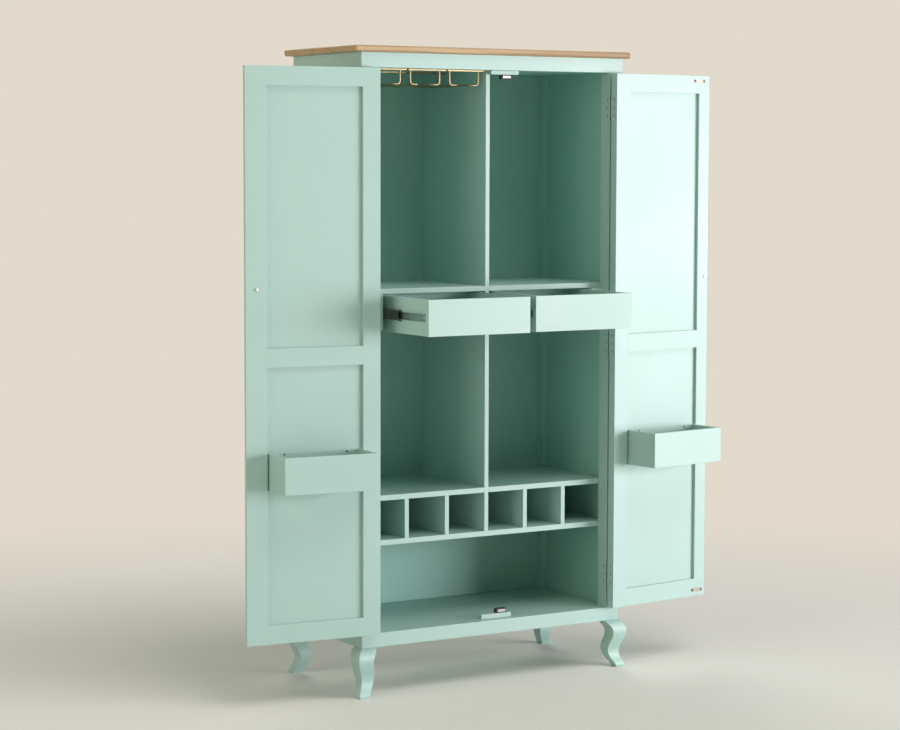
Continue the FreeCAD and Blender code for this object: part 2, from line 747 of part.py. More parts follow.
def make_doors():
    """Frame-and-panel doors: grooved stiles, rails with stub tenons, and two loose panels each.

    The stiles lap where the doors meet: the left one has a lip on its inner half, and the right one is cut
    back there to close over it, so that the catches on the right door hold both.
    """
    thick = ("pin_offset", "pin_offset + door_thickness")
    panel_slot = ("panel_face", "panel_back")
    tall = ("door_base - overrun", "door_top + overrun")
    mid_low, mid_high = "mid_rail_height - door_rail_height / 2", "mid_rail_height + door_rail_height / 2"
    rail_levels = {
        "bottom": ("door_base", "door_base + door_rail_height"),
        "mid": (mid_low, mid_high),
        "top": ("door_top - door_rail_height", "door_top"),
    }
    tongue_span = ("pane_low - tongue", "pane_high + tongue")
    bolt_place = "free_edge - knob_edge_distance"
    for side, word in SIDE_NAMES.items():
        frame = DOORS[side]
        hinge_blank = board(f"{word}_hinge_blank", from_pin(side, "hinge_edge", "pane_low"), thick,
                            ("door_base", "door_top"))
        tools = [board(
            f"{word}_hinge_groove", from_pin(side, "pane_low - groove_depth", "pane_low + overrun"),
            panel_slot, tall,
        )]
        for index, start in enumerate(HINGE_STARTS):
            tools.append(board(
                f"door_mortise_{word}_{index}",
                from_pin(side, "hinge_edge - overrun", "hinge_edge + mortise_depth"),
                ("pin_offset - overrun", "leaf_start + leaf_width + mortise_clearance"),
                (f"{start} - mortise_clearance", f"{start} + hinge_height + mortise_clearance"),
            ))
        hinge_stile = cut(f"{word}_hinge_stile", hinge_blank, tools)
        if side == LEFT:
            free_end = "lap_end"
            rebate_span = from_pin(side, "free_edge", "lap_end + overrun")
            rebate_depth = ("pin_offset - overrun", "lap_middle + lap_clearance / 2")
        else:
            free_end = "free_edge"
            rebate_span = from_pin(side, "lap_start", "free_edge + overrun")
            rebate_depth = ("lap_middle - lap_clearance / 2", "pin_offset + door_thickness + overrun")
        free_blank = board(f"{word}_free_blank", from_pin(side, "pane_high", free_end), thick,
                           ("door_base", "door_top"))
        rebate = board(f"{word}_meeting_rebate", rebate_span, rebate_depth, tall)
        free_groove = board(
            f"{word}_free_groove", from_pin(side, "pane_high - overrun", "pane_high + groove_depth"),
            panel_slot, tall,
        )
        bolt_x = from_pin(side, bolt_place, bolt_place)[0]
        bolt_hole = rod(
            f"{word}_bolt_hole", (bolt_x, "pin_offset - overrun", "knob_height"),
            "knob_bolt_radius + knob_bolt_clearance", "door_thickness + 2 * overrun", (0, 1, 0),
        )
        free_stile = cut(f"{word}_free_stile", free_blank, [free_groove, bolt_hole, rebate])
        node(f"{word}_door_stiles", frame, [hinge_stile, free_stile])
        rails = []
        for place, (low, high) in rail_levels.items():
            pane = from_pin(side, "pane_low", "pane_high")
            blank = board(f"{word}_{place}_rail_blank", pane, thick, (low, high))
            tenon = board(f"{word}_{place}_tenon", from_pin(side, *tongue_span), panel_slot, (low, high))
            past = from_pin(side, "pane_low - groove_depth", "pane_high + groove_depth")
            grooves = []
            if place != "bottom":
                edge = (f"{low} - overrun", f"{low} + groove_depth")
                grooves.append(board(f"{word}_{place}_lower_groove", past, panel_slot, edge))
            if place != "top":
                edge = (f"{high} - groove_depth", f"{high} + overrun")
                grooves.append(board(f"{word}_{place}_upper_groove", past, panel_slot, edge))
            joined = fuse(f"{word}_{place}_rail_joined", [blank, tenon])
            rails.append(cut(f"{word}_{place}_rail", joined, grooves))
        node(f"{word}_door_rails", frame, rails)
        panels = []
        for place, below, above in (("lower", "bottom", "mid"), ("upper", "mid", "top")):
            level = (f"{rail_levels[below][1]} - tongue", f"{rail_levels[above][0]} + tongue")
            panels.append(board(f"{word}_{place}_panel", from_pin(side, *tongue_span), panel_slot, level))
        node(f"{word}_door_panels", frame, panels)


def make_trays():
    """An open-topped tray of five boards on the inside of each door, set between the stiles."""
    low, high = "pane_low + tray_clearance", "pane_high - tray_clearance"
    front = "panel_back + tray_depth"
    level = ("tray_bottom", "tray_bottom + tray_height")
    inner = ("panel_back + tray_board", f"{front} - tray_board")
    for side, word in SIDE_NAMES.items():
        span = from_pin(side, low, high)
        back_board = board(f"{word}_tray_back", span, ("panel_back", inner[0]), level)
        front_board = board(f"{word}_tray_front", span, (inner[1], front), level)
        near_end = board(f"{word}_tray_near_end", from_pin(side, low, f"{low} + tray_board"), inner, level)
        far_end = board(f"{word}_tray_far_end", from_pin(side, f"{high} - tray_board", high), inner, level)
        base = board(
            f"{word}_tray_base", from_pin(side, f"{low} + tray_board", f"{high} - tray_board"), inner,
            ("tray_bottom", "tray_bottom + tray_board"),
        )
        node(f"{word}_door_tray", DOORS[side], [back_board, front_board, near_end, far_end, base])


def hinge_leaf(name, side, start, knuckles, bore):
    """A butt-hinge leaf about the pin: a plate, its own knuckles, and the bore through them."""
    plate_span = across(side, "leaf_back - leaf_thickness", "leaf_back")
    pieces = [board(
        f"{name}_plate", plate_span, ("leaf_start", "leaf_start + leaf_width"),
        (start, f"{start} + hinge_height"),
    )]
    for count in knuckles:
        low = f"{start} + {count} * knuckle_length + knuckle_gap / 2"
        length = "knuckle_length - knuckle_gap"
        pieces.append(rod(f"{name}_knuckle_{count}", ("0", "0", low), "knuckle_radius", length, (0, 0, 1)))
        pieces.append(board(
            f"{name}_web_{count}", plate_span, ("0", "leaf_start"), (low, f"{low} + {length}")
        ))
    hole = rod(
        f"{name}_bore", ("0", "0", f"{start} - overrun"), bore, "hinge_height + 2 * overrun", (0, 0, 1)
    )
    return cut(name, fuse(f"{name}_joined", pieces), [hole])


def make_hinges():
    """Three butt hinges a side: a leaf let into the post, a leaf let into the door, and the pin."""
    fixed_leaves, pins = [], []
    for side, word in SIDE_NAMES.items():
        post_leaves, door_leaves, side_pins = [], [], []
        for index, start in enumerate(HINGE_STARTS):
            name = f"{word}_leaf_{index}"
            running = "pin_radius + pin_clearance"
            post_leaves.append(hinge_leaf(f"post_{name}", side, start, POST_KNUCKLES, "pin_radius"))
            door_leaves.append(hinge_leaf(f"door_{name}", -side, start, DOOR_KNUCKLES, running))
            pin = rod(f"{word}_pin_{index}", ("0", "0", start), "pin_radius", "hinge_height", (0, 0, 1))
            side_pins.append(pin)
        fixed_leaves.append(group(f"{word}_post_leaves", AT_PINS[side], post_leaves))
        pins.append(group(f"{word}_pins", AT_PINS[side], side_pins))
        node(f"{word}_door_hinge_leaves", DOORS[side], door_leaves)
    node("post_hinge_leaves", CARCASS, fixed_leaves)
    node("hinge_pins", CARCASS, pins)


def make_knobs():
    """A turned knob on the outside of each door, drawn up by a bolt from the inside."""
    place = "free_edge - knob_edge_distance"
    shape = [
        ("knob_bolt_radius", "0"),
        ("knob_base_radius", "0"),
        ("knob_base_radius", "-knob_base_length"),
        ("knob_neck_radius", "-knob_base_length"),
        ("knob_neck_radius", "-knob_neck_length"),
        ("knob_radius", "-knob_neck_length"),
        ("knob_radius", "-knob_length"),
        ("0", "-knob_length"),
        ("0", "-knob_bolt_reach"),
        ("knob_bolt_radius", "-knob_bolt_reach"),
    ]
    for side, word in SIDE_NAMES.items():
        x = from_pin(side, place, place)[0]
        body = new_body(f"{word}_knob_body")
        profile = outline(body, f"{word}_knob_outline", "XY_Plane", shape)
        turned = body.newObject("PartDesign::Revolution", f"{word}_knob_turned")
        turned.Profile = profile
        turned.ReferenceAxis = (profile, ["V_Axis"])
        doc.recompute()
        rims = [
            f"Edge{index}"
            for index, edge in enumerate(turned.Shape.Edges, start=1)
            if edge.Curve.TypeId == "Part::GeomCircle" and edge.Curve.Radius > value("knob_base_radius")
        ]
        round_edges(body, turned, rims, "knob_round")
        seat(body, (x, "pin_offset", "knob_height"))
        node(f"{word}_door_knob", DOORS[side], [body])
        inner_face = "pin_offset + door_thickness"
        head = rod(
            f"{word}_bolt_head", (x, inner_face, "knob_height"), "knob_bolt_head_radius",
            "knob_bolt_head_height", (0, 1, 0),
        )
        shank = rod(
            f"{word}_bolt_shank", (x, "pin_offset - knob_bolt_reach", "knob_height"), "knob_bolt_radius",
            "door_thickness + knob_bolt_reach", (0, 1, 0),
        )
        node(f"{word}_knob_bolt", DOORS[side], [fuse(f"{word}_bolt", [head, shank])])


def make_catches():
    """Magnetic catches on blocks above and below, and the strikes that they hold on the right door."""
    case_depth = ("catch_front + catch_lip", "catch_front + catch_lip + catch_depth")
    block_depth = (case_depth[0], f"{case_depth[0]} + catch_block_depth")
    block_end = "bottom_catch_place + catch_length / 2 + bottom_block_end"
    blocks = [
        board(
            "top_block", ("0", "top_block_length"), block_depth,
            ("header_bottom - top_block_height", "header_bottom"),
        ),
        board(
            "bottom_block", (f"{block_end} - bottom_block_length", block_end), block_depth,
            ("plinth_top", "plinth_top + bottom_block_height"),
        ),
    ]
    cases, magnets, strikes = [], [], []
    for word in ("top", "bottom"):
        level, place = f"{word}_catch_level", f"{word}_catch_place"
        along = (f"{place} - catch_length / 2", f"{place} + catch_length / 2")
        slot = (f"{place} - magnet_length / 2", f"{place} + magnet_length / 2")
        door_x = f"pin_x - {place}"
        case_height = (f"{level} - catch_height / 2", f"{level} + catch_height / 2")
        magnet_height = (f"{level} - magnet_height / 2", f"{level} + magnet_height / 2")
        blank = board(f"{word}_case_blank", along, case_depth, case_height)
        bed = ("catch_front", "catch_front + magnet_depth")
        hollow = board(f"{word}_case_slot", slot, bed, magnet_height)
        cases.append(cut(f"{word}_case", blank, [hollow]))
        magnets.append(board(f"{word}_magnet", slot, bed, magnet_height))
        inner_face = "pin_offset + door_thickness"
        reach = "(strike_length - strike_height) / 2"
        middle = from_pin(RIGHT, f"{door_x} - {reach}", f"{door_x} + {reach}")
        plate = board(
            f"{word}_strike_plate", middle, (inner_face, f"{inner_face} + strike_thickness"),
            (f"{level} - strike_height / 2", f"{level} + strike_height / 2"),
        )
        ends = [
            rod(f"{word}_strike_end_{count}", (x, inner_face, level), "strike_height / 2",
                "strike_thickness", (0, 1, 0))
            for count, x in enumerate(middle)
        ]
        strikes.append(fuse(f"{word}_strike", [plate, *ends]))
    node("catch_blocks", CARCASS, blocks)
    node("catch_cases", CARCASS, cases)
    node("catch_magnets", CARCASS, magnets)
    node("right_door_strikes", DOORS[RIGHT], strikes)


def bent_wire(corners, bend, radius):
    """A round wire along straight runs, with a bend of one radius at each corner."""
    start, edges = corners[0], []
    for before, corner, after in zip(corners, corners[1:], corners[2:]):
        into = (corner - before).normalize()
        out = (after - corner).normalize()
        first, last = corner - into * bend, corner + out * bend
        # a right angle: the bend's centre lies one radius in along both runs
        centre = first + out * bend
        crown = centre + (corner - centre).normalize() * bend
        edges += [Part.LineSegment(start, first).toShape(), Part.Arc(first, crown, last).toShape()]
        start = last
    edges.append(Part.LineSegment(start, corners[-1]).toShape())
    path = Part.Wire(edges)
    section = Part.Wire([Part.makeCircle(radius, corners[0], corners[1] - corners[0])])
    return path.makePipeShell([section], True, False)


def make_glass_rack():
    """Three rows for stemware under the ceiling: bent brass wires in pairs, hung from flat straps."""
    front, back = value("hoop_front"), value("hoop_front + hoop_length")
    top, low = value("header_bottom - strap_thickness"), value("header_bottom - hoop_drop")
    reach, rail = value("hoop_width / 2"), value("stem_gap / 2 + wire_radius")
    wires, straps = [], []
    for row in range(ROWS_OF_GLASSES):
        centre = f"partition_half + {row + 0.5} * row_pitch"
        middle = -value(centre)
        for hand in (LEFT, RIGHT):
            outer, inner = middle + hand * reach, middle + hand * rail
            corners = [
                FreeCAD.Vector(outer, front, top),
                FreeCAD.Vector(outer, front, low),
                FreeCAD.Vector(inner, front, low),
                FreeCAD.Vector(inner, back, low),
                FreeCAD.Vector(outer, back, low),
                FreeCAD.Vector(outer, back, top),
            ]
            wire = doc.addObject("Part::Feature", f"wire_{row}_{SIDE_NAMES[hand]}")
            wire.Shape = bent_wire(corners, value("wire_bend"), value("wire_radius"))
            wires.append(wire)
        span = (f"-({centre}) - strap_length / 2", f"-({centre}) + strap_length / 2")
        level = ("header_bottom - strap_thickness", "header_bottom")
        for place, line in (("front", "hoop_front"), ("rear", "hoop_front + hoop_length")):
            depth = (f"{line} - strap_width / 2", f"{line} + strap_width / 2")
            straps.append(board(f"strap_{row}_{place}", span, depth, level))
    node("glass_rack_wires", CARCASS, wires)
    node("glass_rack_straps", CARCASS, straps)


def write_parts():
    """Check every object, then write each sub-part to its own file."""
    doc.recompute()
    bad = [item.Label for item in doc.Objects if {"Invalid", "Error"} & set(item.State)]
    bad += [item.Label for item in nodes if item.Shape.isNull() or not item.Shape.isValid()]
    if bad:
        raise RuntimeError(f"these objects failed: {bad}")
    os.makedirs("parts", exist_ok=True)
    for item in nodes:
        item.Shape.exportStep(f"parts/{item.Label}.step")
    solids = sum(len(item.Shape.Solids) for item in nodes)
    print(f"{len(nodes)} sub-parts, {solids} solids")


make_top()
make_frames()
make_posts()
make_panels()
make_inside()
make_legs()
make_slides()
make_drawers()
make_doors()
make_trays()
make_hinges()
make_knobs()
make_catches()
make_glass_rack()
write_parts()
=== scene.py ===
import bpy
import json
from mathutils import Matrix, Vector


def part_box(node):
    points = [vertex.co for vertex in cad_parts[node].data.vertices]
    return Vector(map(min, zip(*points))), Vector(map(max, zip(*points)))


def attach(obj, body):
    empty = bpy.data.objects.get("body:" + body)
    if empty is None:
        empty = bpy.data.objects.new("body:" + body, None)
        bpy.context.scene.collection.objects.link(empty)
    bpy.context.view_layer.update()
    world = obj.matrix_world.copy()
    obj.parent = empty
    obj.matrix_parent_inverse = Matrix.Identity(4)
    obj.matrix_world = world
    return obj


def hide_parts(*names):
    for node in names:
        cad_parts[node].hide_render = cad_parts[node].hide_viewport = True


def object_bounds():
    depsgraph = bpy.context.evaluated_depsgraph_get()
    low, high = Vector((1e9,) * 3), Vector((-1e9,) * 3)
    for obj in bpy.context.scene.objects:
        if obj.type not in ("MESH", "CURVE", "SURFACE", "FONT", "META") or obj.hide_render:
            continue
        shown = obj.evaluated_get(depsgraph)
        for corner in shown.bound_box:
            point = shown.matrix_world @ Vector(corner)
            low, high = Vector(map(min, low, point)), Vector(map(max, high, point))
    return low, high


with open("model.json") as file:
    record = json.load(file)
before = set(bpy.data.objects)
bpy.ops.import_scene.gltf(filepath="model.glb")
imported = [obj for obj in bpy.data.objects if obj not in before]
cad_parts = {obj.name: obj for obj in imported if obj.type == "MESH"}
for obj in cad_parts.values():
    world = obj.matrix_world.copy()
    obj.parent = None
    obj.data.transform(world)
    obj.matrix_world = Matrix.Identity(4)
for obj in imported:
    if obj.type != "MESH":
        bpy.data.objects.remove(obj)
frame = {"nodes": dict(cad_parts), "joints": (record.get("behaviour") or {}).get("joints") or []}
CAD_BOX = [list(corner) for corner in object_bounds()]

import json
import logging
import math
from dataclasses import dataclass
from enum import Enum
from typing import Any, Optional, Sequence

import bmesh
import bpy
import numpy as np
from mathutils import Matrix

# The dressed bar armoire: finishes for every piece of the frame, soft arrises on its boards and legs, and
# the small fasteners and bearing balls. Lengths are metres, in the frame's own axes.

Pair = tuple[float, float]
Triple = tuple[float, float, float]
Socket = bpy.types.NodeSocket

log = logging.getLogger("bar_armoire")
NODES = frame["nodes"]
JOINTS = {joint["name"]: joint for joint in frame["joints"]}
# Points this near are one point. An edge that turns this far is sharp, and a board's is rounded in steps.
WELD_DISTANCE = 1e-5
SHARP_ANGLE = math.radians(35)
ARRIS_STEPS = 2
# Decimals that boxes are sorted by, a whole turn, and a number that keeps a quotient finite.
SORT_DIGITS = 3
CIRCLE = 2.0 * math.pi
TINY = 1e-6


class Side(Enum):
    """The two hands of the cabinet, with their sign along X."""

    LEFT = -1
    RIGHT = 1

    @property
    def word(self) -> str:
        """The name used in node and body names."""
        return self.name.lower()


class Grain(Enum):
    """The axis that a board's length, its brush strokes and its grain run along."""

    ALONG_X = 0
    ALONG_Y = 1
    ALONG_Z = 2

    def stretched(self, along: float, across: float) -> Triple:
        """A pattern's scale on the three axes: one number along the grain and another across it."""
        return tuple(along if axis == self.value else across for axis in range(3))


class Recess(Enum):
    """What the driver turns in a screw's head: the number of arms of its recess."""

    SLOT = 2
    CROSS = 4


class Fullness(Enum):
    """How square a rounded block is: the power of its superellipsoid."""

    BALL = 2.0
    PAD = 3.0
    BAR = 8.0


# Surfaces

@dataclass
class Surface:
    """A mesh as arrays.

    Attributes:
        points: corner places, shape (n, 3).
        faces: corner numbers of four-cornered faces, shape (m, 4).
    """

    points: np.ndarray
    faces: np.ndarray

    @classmethod
    def from_grid(cls, grid: np.ndarray) -> "Surface":
        """Join a grid of points into faces; its columns close on themselves.

        Args:
            grid: points of shape (rows, columns, 3), rows along the profile, columns around it.

        Returns:
            The surface through the grid.
        """
        rows, columns = grid.shape[:2]
        number = np.arange(rows * columns).reshape(rows, columns)
        after = np.roll(number, -1, axis=1)
        faces = np.stack([number[:-1], after[:-1], after[1:], number[1:]], axis=-1)
        return cls(grid.reshape(-1, 3), faces.reshape(-1, 4))

    @classmethod
    def joined(cls, parts: Sequence["Surface"]) -> "Surface":
        """Put several surfaces into one mesh.

        Args:
            parts: the surfaces, which keep their own points.

        Returns:
            One surface that holds them all.
        """
        starts = np.cumsum([0] + [len(part.points) for part in parts[:-1]])
        faces = [part.faces + start for part, start in zip(parts, starts)]
        return cls(np.concatenate([part.points for part in parts]), np.concatenate(faces))

    def repeated(self, frames: np.ndarray) -> "Surface":
        """Copy the surface to each of several places.

        Args:
            frames: places and turns, shape (k, 4, 4).

        Returns:
            One surface with k copies, each point carried by its frame's rotation and shift.
        """
        turned = np.einsum("kij,nj->kni", frames[:, :3, :3], self.points) + frames[:, None, :3, 3]
        starts = np.arange(len(frames))[:, None, None] * len(self.points)
        return Surface(turned.reshape(-1, 3), (self.faces[None] + starts).reshape(-1, 4))


def spots(x: Any, y: Any, z: Any) -> np.ndarray:
    """Points from three coordinates, each a number or an array, spread to one shape."""
    return np.stack(np.broadcast_arrays(x, y, z), axis=-1).astype(float)


def once_round(sides: int) -> np.ndarray:
    """Angles evenly spaced round a circle."""
    return np.linspace(0.0, CIRCLE, sides, endpoint=False)


def lathe(foot: Sequence[float], reach: np.ndarray, height: np.ndarray, angle: np.ndarray) -> Surface:
    """A surface round an upright axis, through foot + (reach cos angle, reach sin angle, height)."""
    return Surface.from_grid(np.array(foot) + spots(reach * np.cos(angle), reach * np.sin(angle), height))


def rounded_block(middle: np.ndarray, half: np.ndarray, fullness: Fullness, sides: int = 24) -> Surface:
    """A block with rounded edges, as a superellipsoid.

    A ball's x, y and z are cos b cos a, cos b sin a and sin b. Here each cosine and sine is raised to
    2 / fullness and keeps its sign, so a fullness of 2 is an ellipsoid and a larger one is squarer.

    Args:
        middle: its middle.
        half: half its size along X, Y and Z.
        fullness: how square it is.
        sides: points around; half as many rows from pole to pole.

    Returns:
        The closed surface.
    """
    angle = once_round(sides)
    rise = np.linspace(-np.pi / 2.0, np.pi / 2.0, sides // 2 + 1)[:, None]
    waves = (np.cos(rise), np.cos(angle), np.sin(angle), np.sin(rise))
    level, x, y, z = (np.sign(wave) * np.abs(wave) ** (2.0 / fullness.value) for wave in waves)
    return Surface.from_grid(middle + half * spots(level * x, level * y, z))


def smooth_through(places: np.ndarray, values: np.ndarray, at: np.ndarray) -> np.ndarray:
    """A smooth curve through known values.

    The slope at each place is that of the parabola through it and its neighbours. Across a gap of width
    w, with t from 0 to 1, values a and b and slopes p and q at its ends, the curve is
    (1 + 2t)(1 - t)^2 a + t(1 - t)^2 w p + t^2 (3 - 2t) b - t^2 (1 - t) w q.

    Args:
        places: where the values are known, rising.
        values: the known values.
        at: the places asked for.

    Returns:
        The curve's values there.
    """
    slopes = np.gradient(values, places)
    gap = np.clip(np.searchsorted(places, at) - 1, 0, len(places) - 2)
    width = places[gap + 1] - places[gap]
    t = (at - places[gap]) / width
    start = (1.0 + 2.0 * t) * (1.0 - t) ** 2 * values[gap] + t * (1.0 - t) ** 2 * width * slopes[gap]
    end = t ** 2 * (3.0 - 2.0 * t) * values[gap + 1] - t ** 2 * (1.0 - t) * width * slopes[gap + 1]
    return start + end


def facing(places: np.ndarray, outward: Sequence[float], turn: float = 0.0) -> np.ndarray:
    """Frames at several places whose Z axis points one way out of a face.

    Args:
        places: the places, shape (k, 3).
        outward: the direction that Z takes.
        turn: how far the pieces are turned about it, in radians; each next one turns further.

    Returns:
        Frames of shape (k, 4, 4). X is any direction square to Z, turned about Z.
    """
    z = np.asarray(outward, float) / np.linalg.norm(outward)
    x = np.cross(np.eye(3)[np.argmin(np.abs(z))], z)
    x /= np.linalg.norm(x)
    y = np.cross(z, x)
    angles = turn * (1.0 + np.arange(len(places)))[:, None]
    frames = np.tile(np.eye(4), (len(places), 1, 1))
    frames[:, :3, 0] = np.cos(angles) * x + np.sin(angles) * y
    frames[:, :3, 1] = np.cos(angles) * y - np.sin(angles) * x
    frames[:, :3, 2] = z
    frames[:, :3, 3] = places
    return frames


@dataclass
class Box:
    """A box with its sides along the axes.

    Attributes:
        low: its lowest corner.
        high: its highest corner.
    """

    low: np.ndarray
    high: np.ndarray

    @classmethod
    def around(cls, points: np.ndarray) -> "Box":
        """The box around points, shape (n, 3)."""
        return cls(points.min(axis=0), points.max(axis=0))

    @classmethod
    def of(cls, node: str) -> "Box":
        """A node's box at rest."""
        return cls(*np.array(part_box(node)))

    @property
    def middle(self) -> np.ndarray:
        """Its middle."""
        return (self.low + self.high) / 2.0

    @property
    def half(self) -> np.ndarray:
        """Half its size along X, Y and Z."""
        return (self.high - self.low) / 2.0

    def shares(self, axis: int, shares: Sequence[float]) -> np.ndarray:
        """Places along one axis, at shares of the box's size."""
        return self.low[axis] + (self.high[axis] - self.low[axis]) * np.array(shares)

    def ends(self, inset: float) -> np.ndarray:
        """Two places along X, set in from the box's ends."""
        return np.array([self.low[0] + inset, self.high[0] - inset])


def corners_of(node: str) -> np.ndarray:
    """All the corner places of a node's mesh.

    Args:
        node: the node's name.

    Returns:
        The places, shape (n, 3).
    """
    mesh = NODES[node].data
    flat = np.zeros(3 * len(mesh.vertices), np.float32)
    mesh.vertices.foreach_get("co", flat)
    return flat.reshape(-1, 3).astype(float)


def solid_boxes(node: str) -> list[Box]:
    """The boxes of a node's separate solids.

    Corners at one place get one number, and the lowest number spreads over each triangle until nothing
    changes, so that every solid ends up with a number of its own.

    Args:
        node: the node's name.

    Returns:
        The box of each solid, sorted by side, depth and height.
    """
    mesh = NODES[node].data
    places, number = np.unique(np.round(corners_of(node) / WELD_DISTANCE), axis=0, return_inverse=True)
    loops = np.zeros(len(mesh.loops), np.int32)
    mesh.loops.foreach_get("vertex_index", loops)
    triangles = number.ravel()[loops].reshape(-1, 3)
    labels, before = np.arange(len(places)), None
    while before is None or np.any(before != labels):
        before = labels.copy()
        np.minimum.at(labels, triangles.ravel(), np.repeat(before[triangles].min(axis=1), 3))
    boxes = [Box.around(WELD_DISTANCE * places[labels == label]) for label in np.unique(labels)]
    return sorted(boxes, key=lambda box: tuple(np.round(box.low, SORT_DIGITS)))


def put(name: str, data: bpy.types.ID, axes: np.ndarray = np.eye(3),
        place: Sequence[float] = (0, 0, 0)) -> bpy.types.Object:
    """Add an object to the scene.

    Args:
        name: its name.
        data: its mesh, lamp or camera.
        axes: its X, Y and Z axes as columns.
        place: where it stands.

    Returns:
        The object.
    """
    held = bpy.data.objects.new(name, data)
    bpy.context.scene.collection.objects.link(held)
    turned = np.eye(4)
    turned[:3, :3] = axes
    turned[:3, 3] = place
    held.matrix_world = Matrix(turned)
    return held


def make_piece(name: str, surface: Surface, finish: "Finish", body: str,
               stands_for: Sequence[str] = ()) -> None:
    """Turn a surface into a finished piece that rides on a body, with its faces turned outwards.

    Args:
        name: the piece's name.
        surface: its points and faces, already in place.
        finish: what it is made of.
        body: the body that it moves with.
        stands_for: nodes that it takes the place of.
    """
    mesh = bpy.data.meshes.new(name)
    mesh.from_pydata(surface.points.tolist(), [], surface.faces.tolist())
    work = bmesh.new()
    work.from_mesh(mesh)
    bmesh.ops.remove_doubles(work, verts=work.verts, dist=WELD_DISTANCE)
    bmesh.ops.recalc_face_normals(work, faces=work.faces)
    work.to_mesh(mesh)
    work.free()
    mesh.shade_smooth()
    mesh.set_sharp_from_angle(angle=SHARP_ANGLE)
    mesh.materials.append(finish.material())
    piece = put(name, mesh)
    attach(piece, body)
    if stands_for:
        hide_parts(*stands_for)
    log.info("piece %s on %s: %d faces", name, body, len(mesh.polygons))


def dress(node: str, finish: "Finish", arris: float = 0.0) -> None:
    """Give a node its finish and, if it is a board, soft arrises.

    Args:
        node: the node's name.
        finish: what it is made of.
        arris: the width of the rounding, zero for none. The rounding takes only edges of two faces that
            turn sharply, so triangles of one flat face stay flat.
    """
    piece = NODES[node]
    piece.data.materials.clear()
    piece.data.materials.append(finish.material())
    if arris:
        weld = piece.modifiers.new("one_skin", "WELD")
        weld.merge_threshold = WELD_DISTANCE
        bevel = piece.modifiers.new("soft_arris", "BEVEL")
        bevel.width = arris
        bevel.segments = ARRIS_STEPS
        bevel.limit_method = "ANGLE"
        bevel.angle_limit = SHARP_ANGLE
        bevel.use_clamp_overlap = True
    log.info("node %s: %s", node, finish.name)


# Finishes

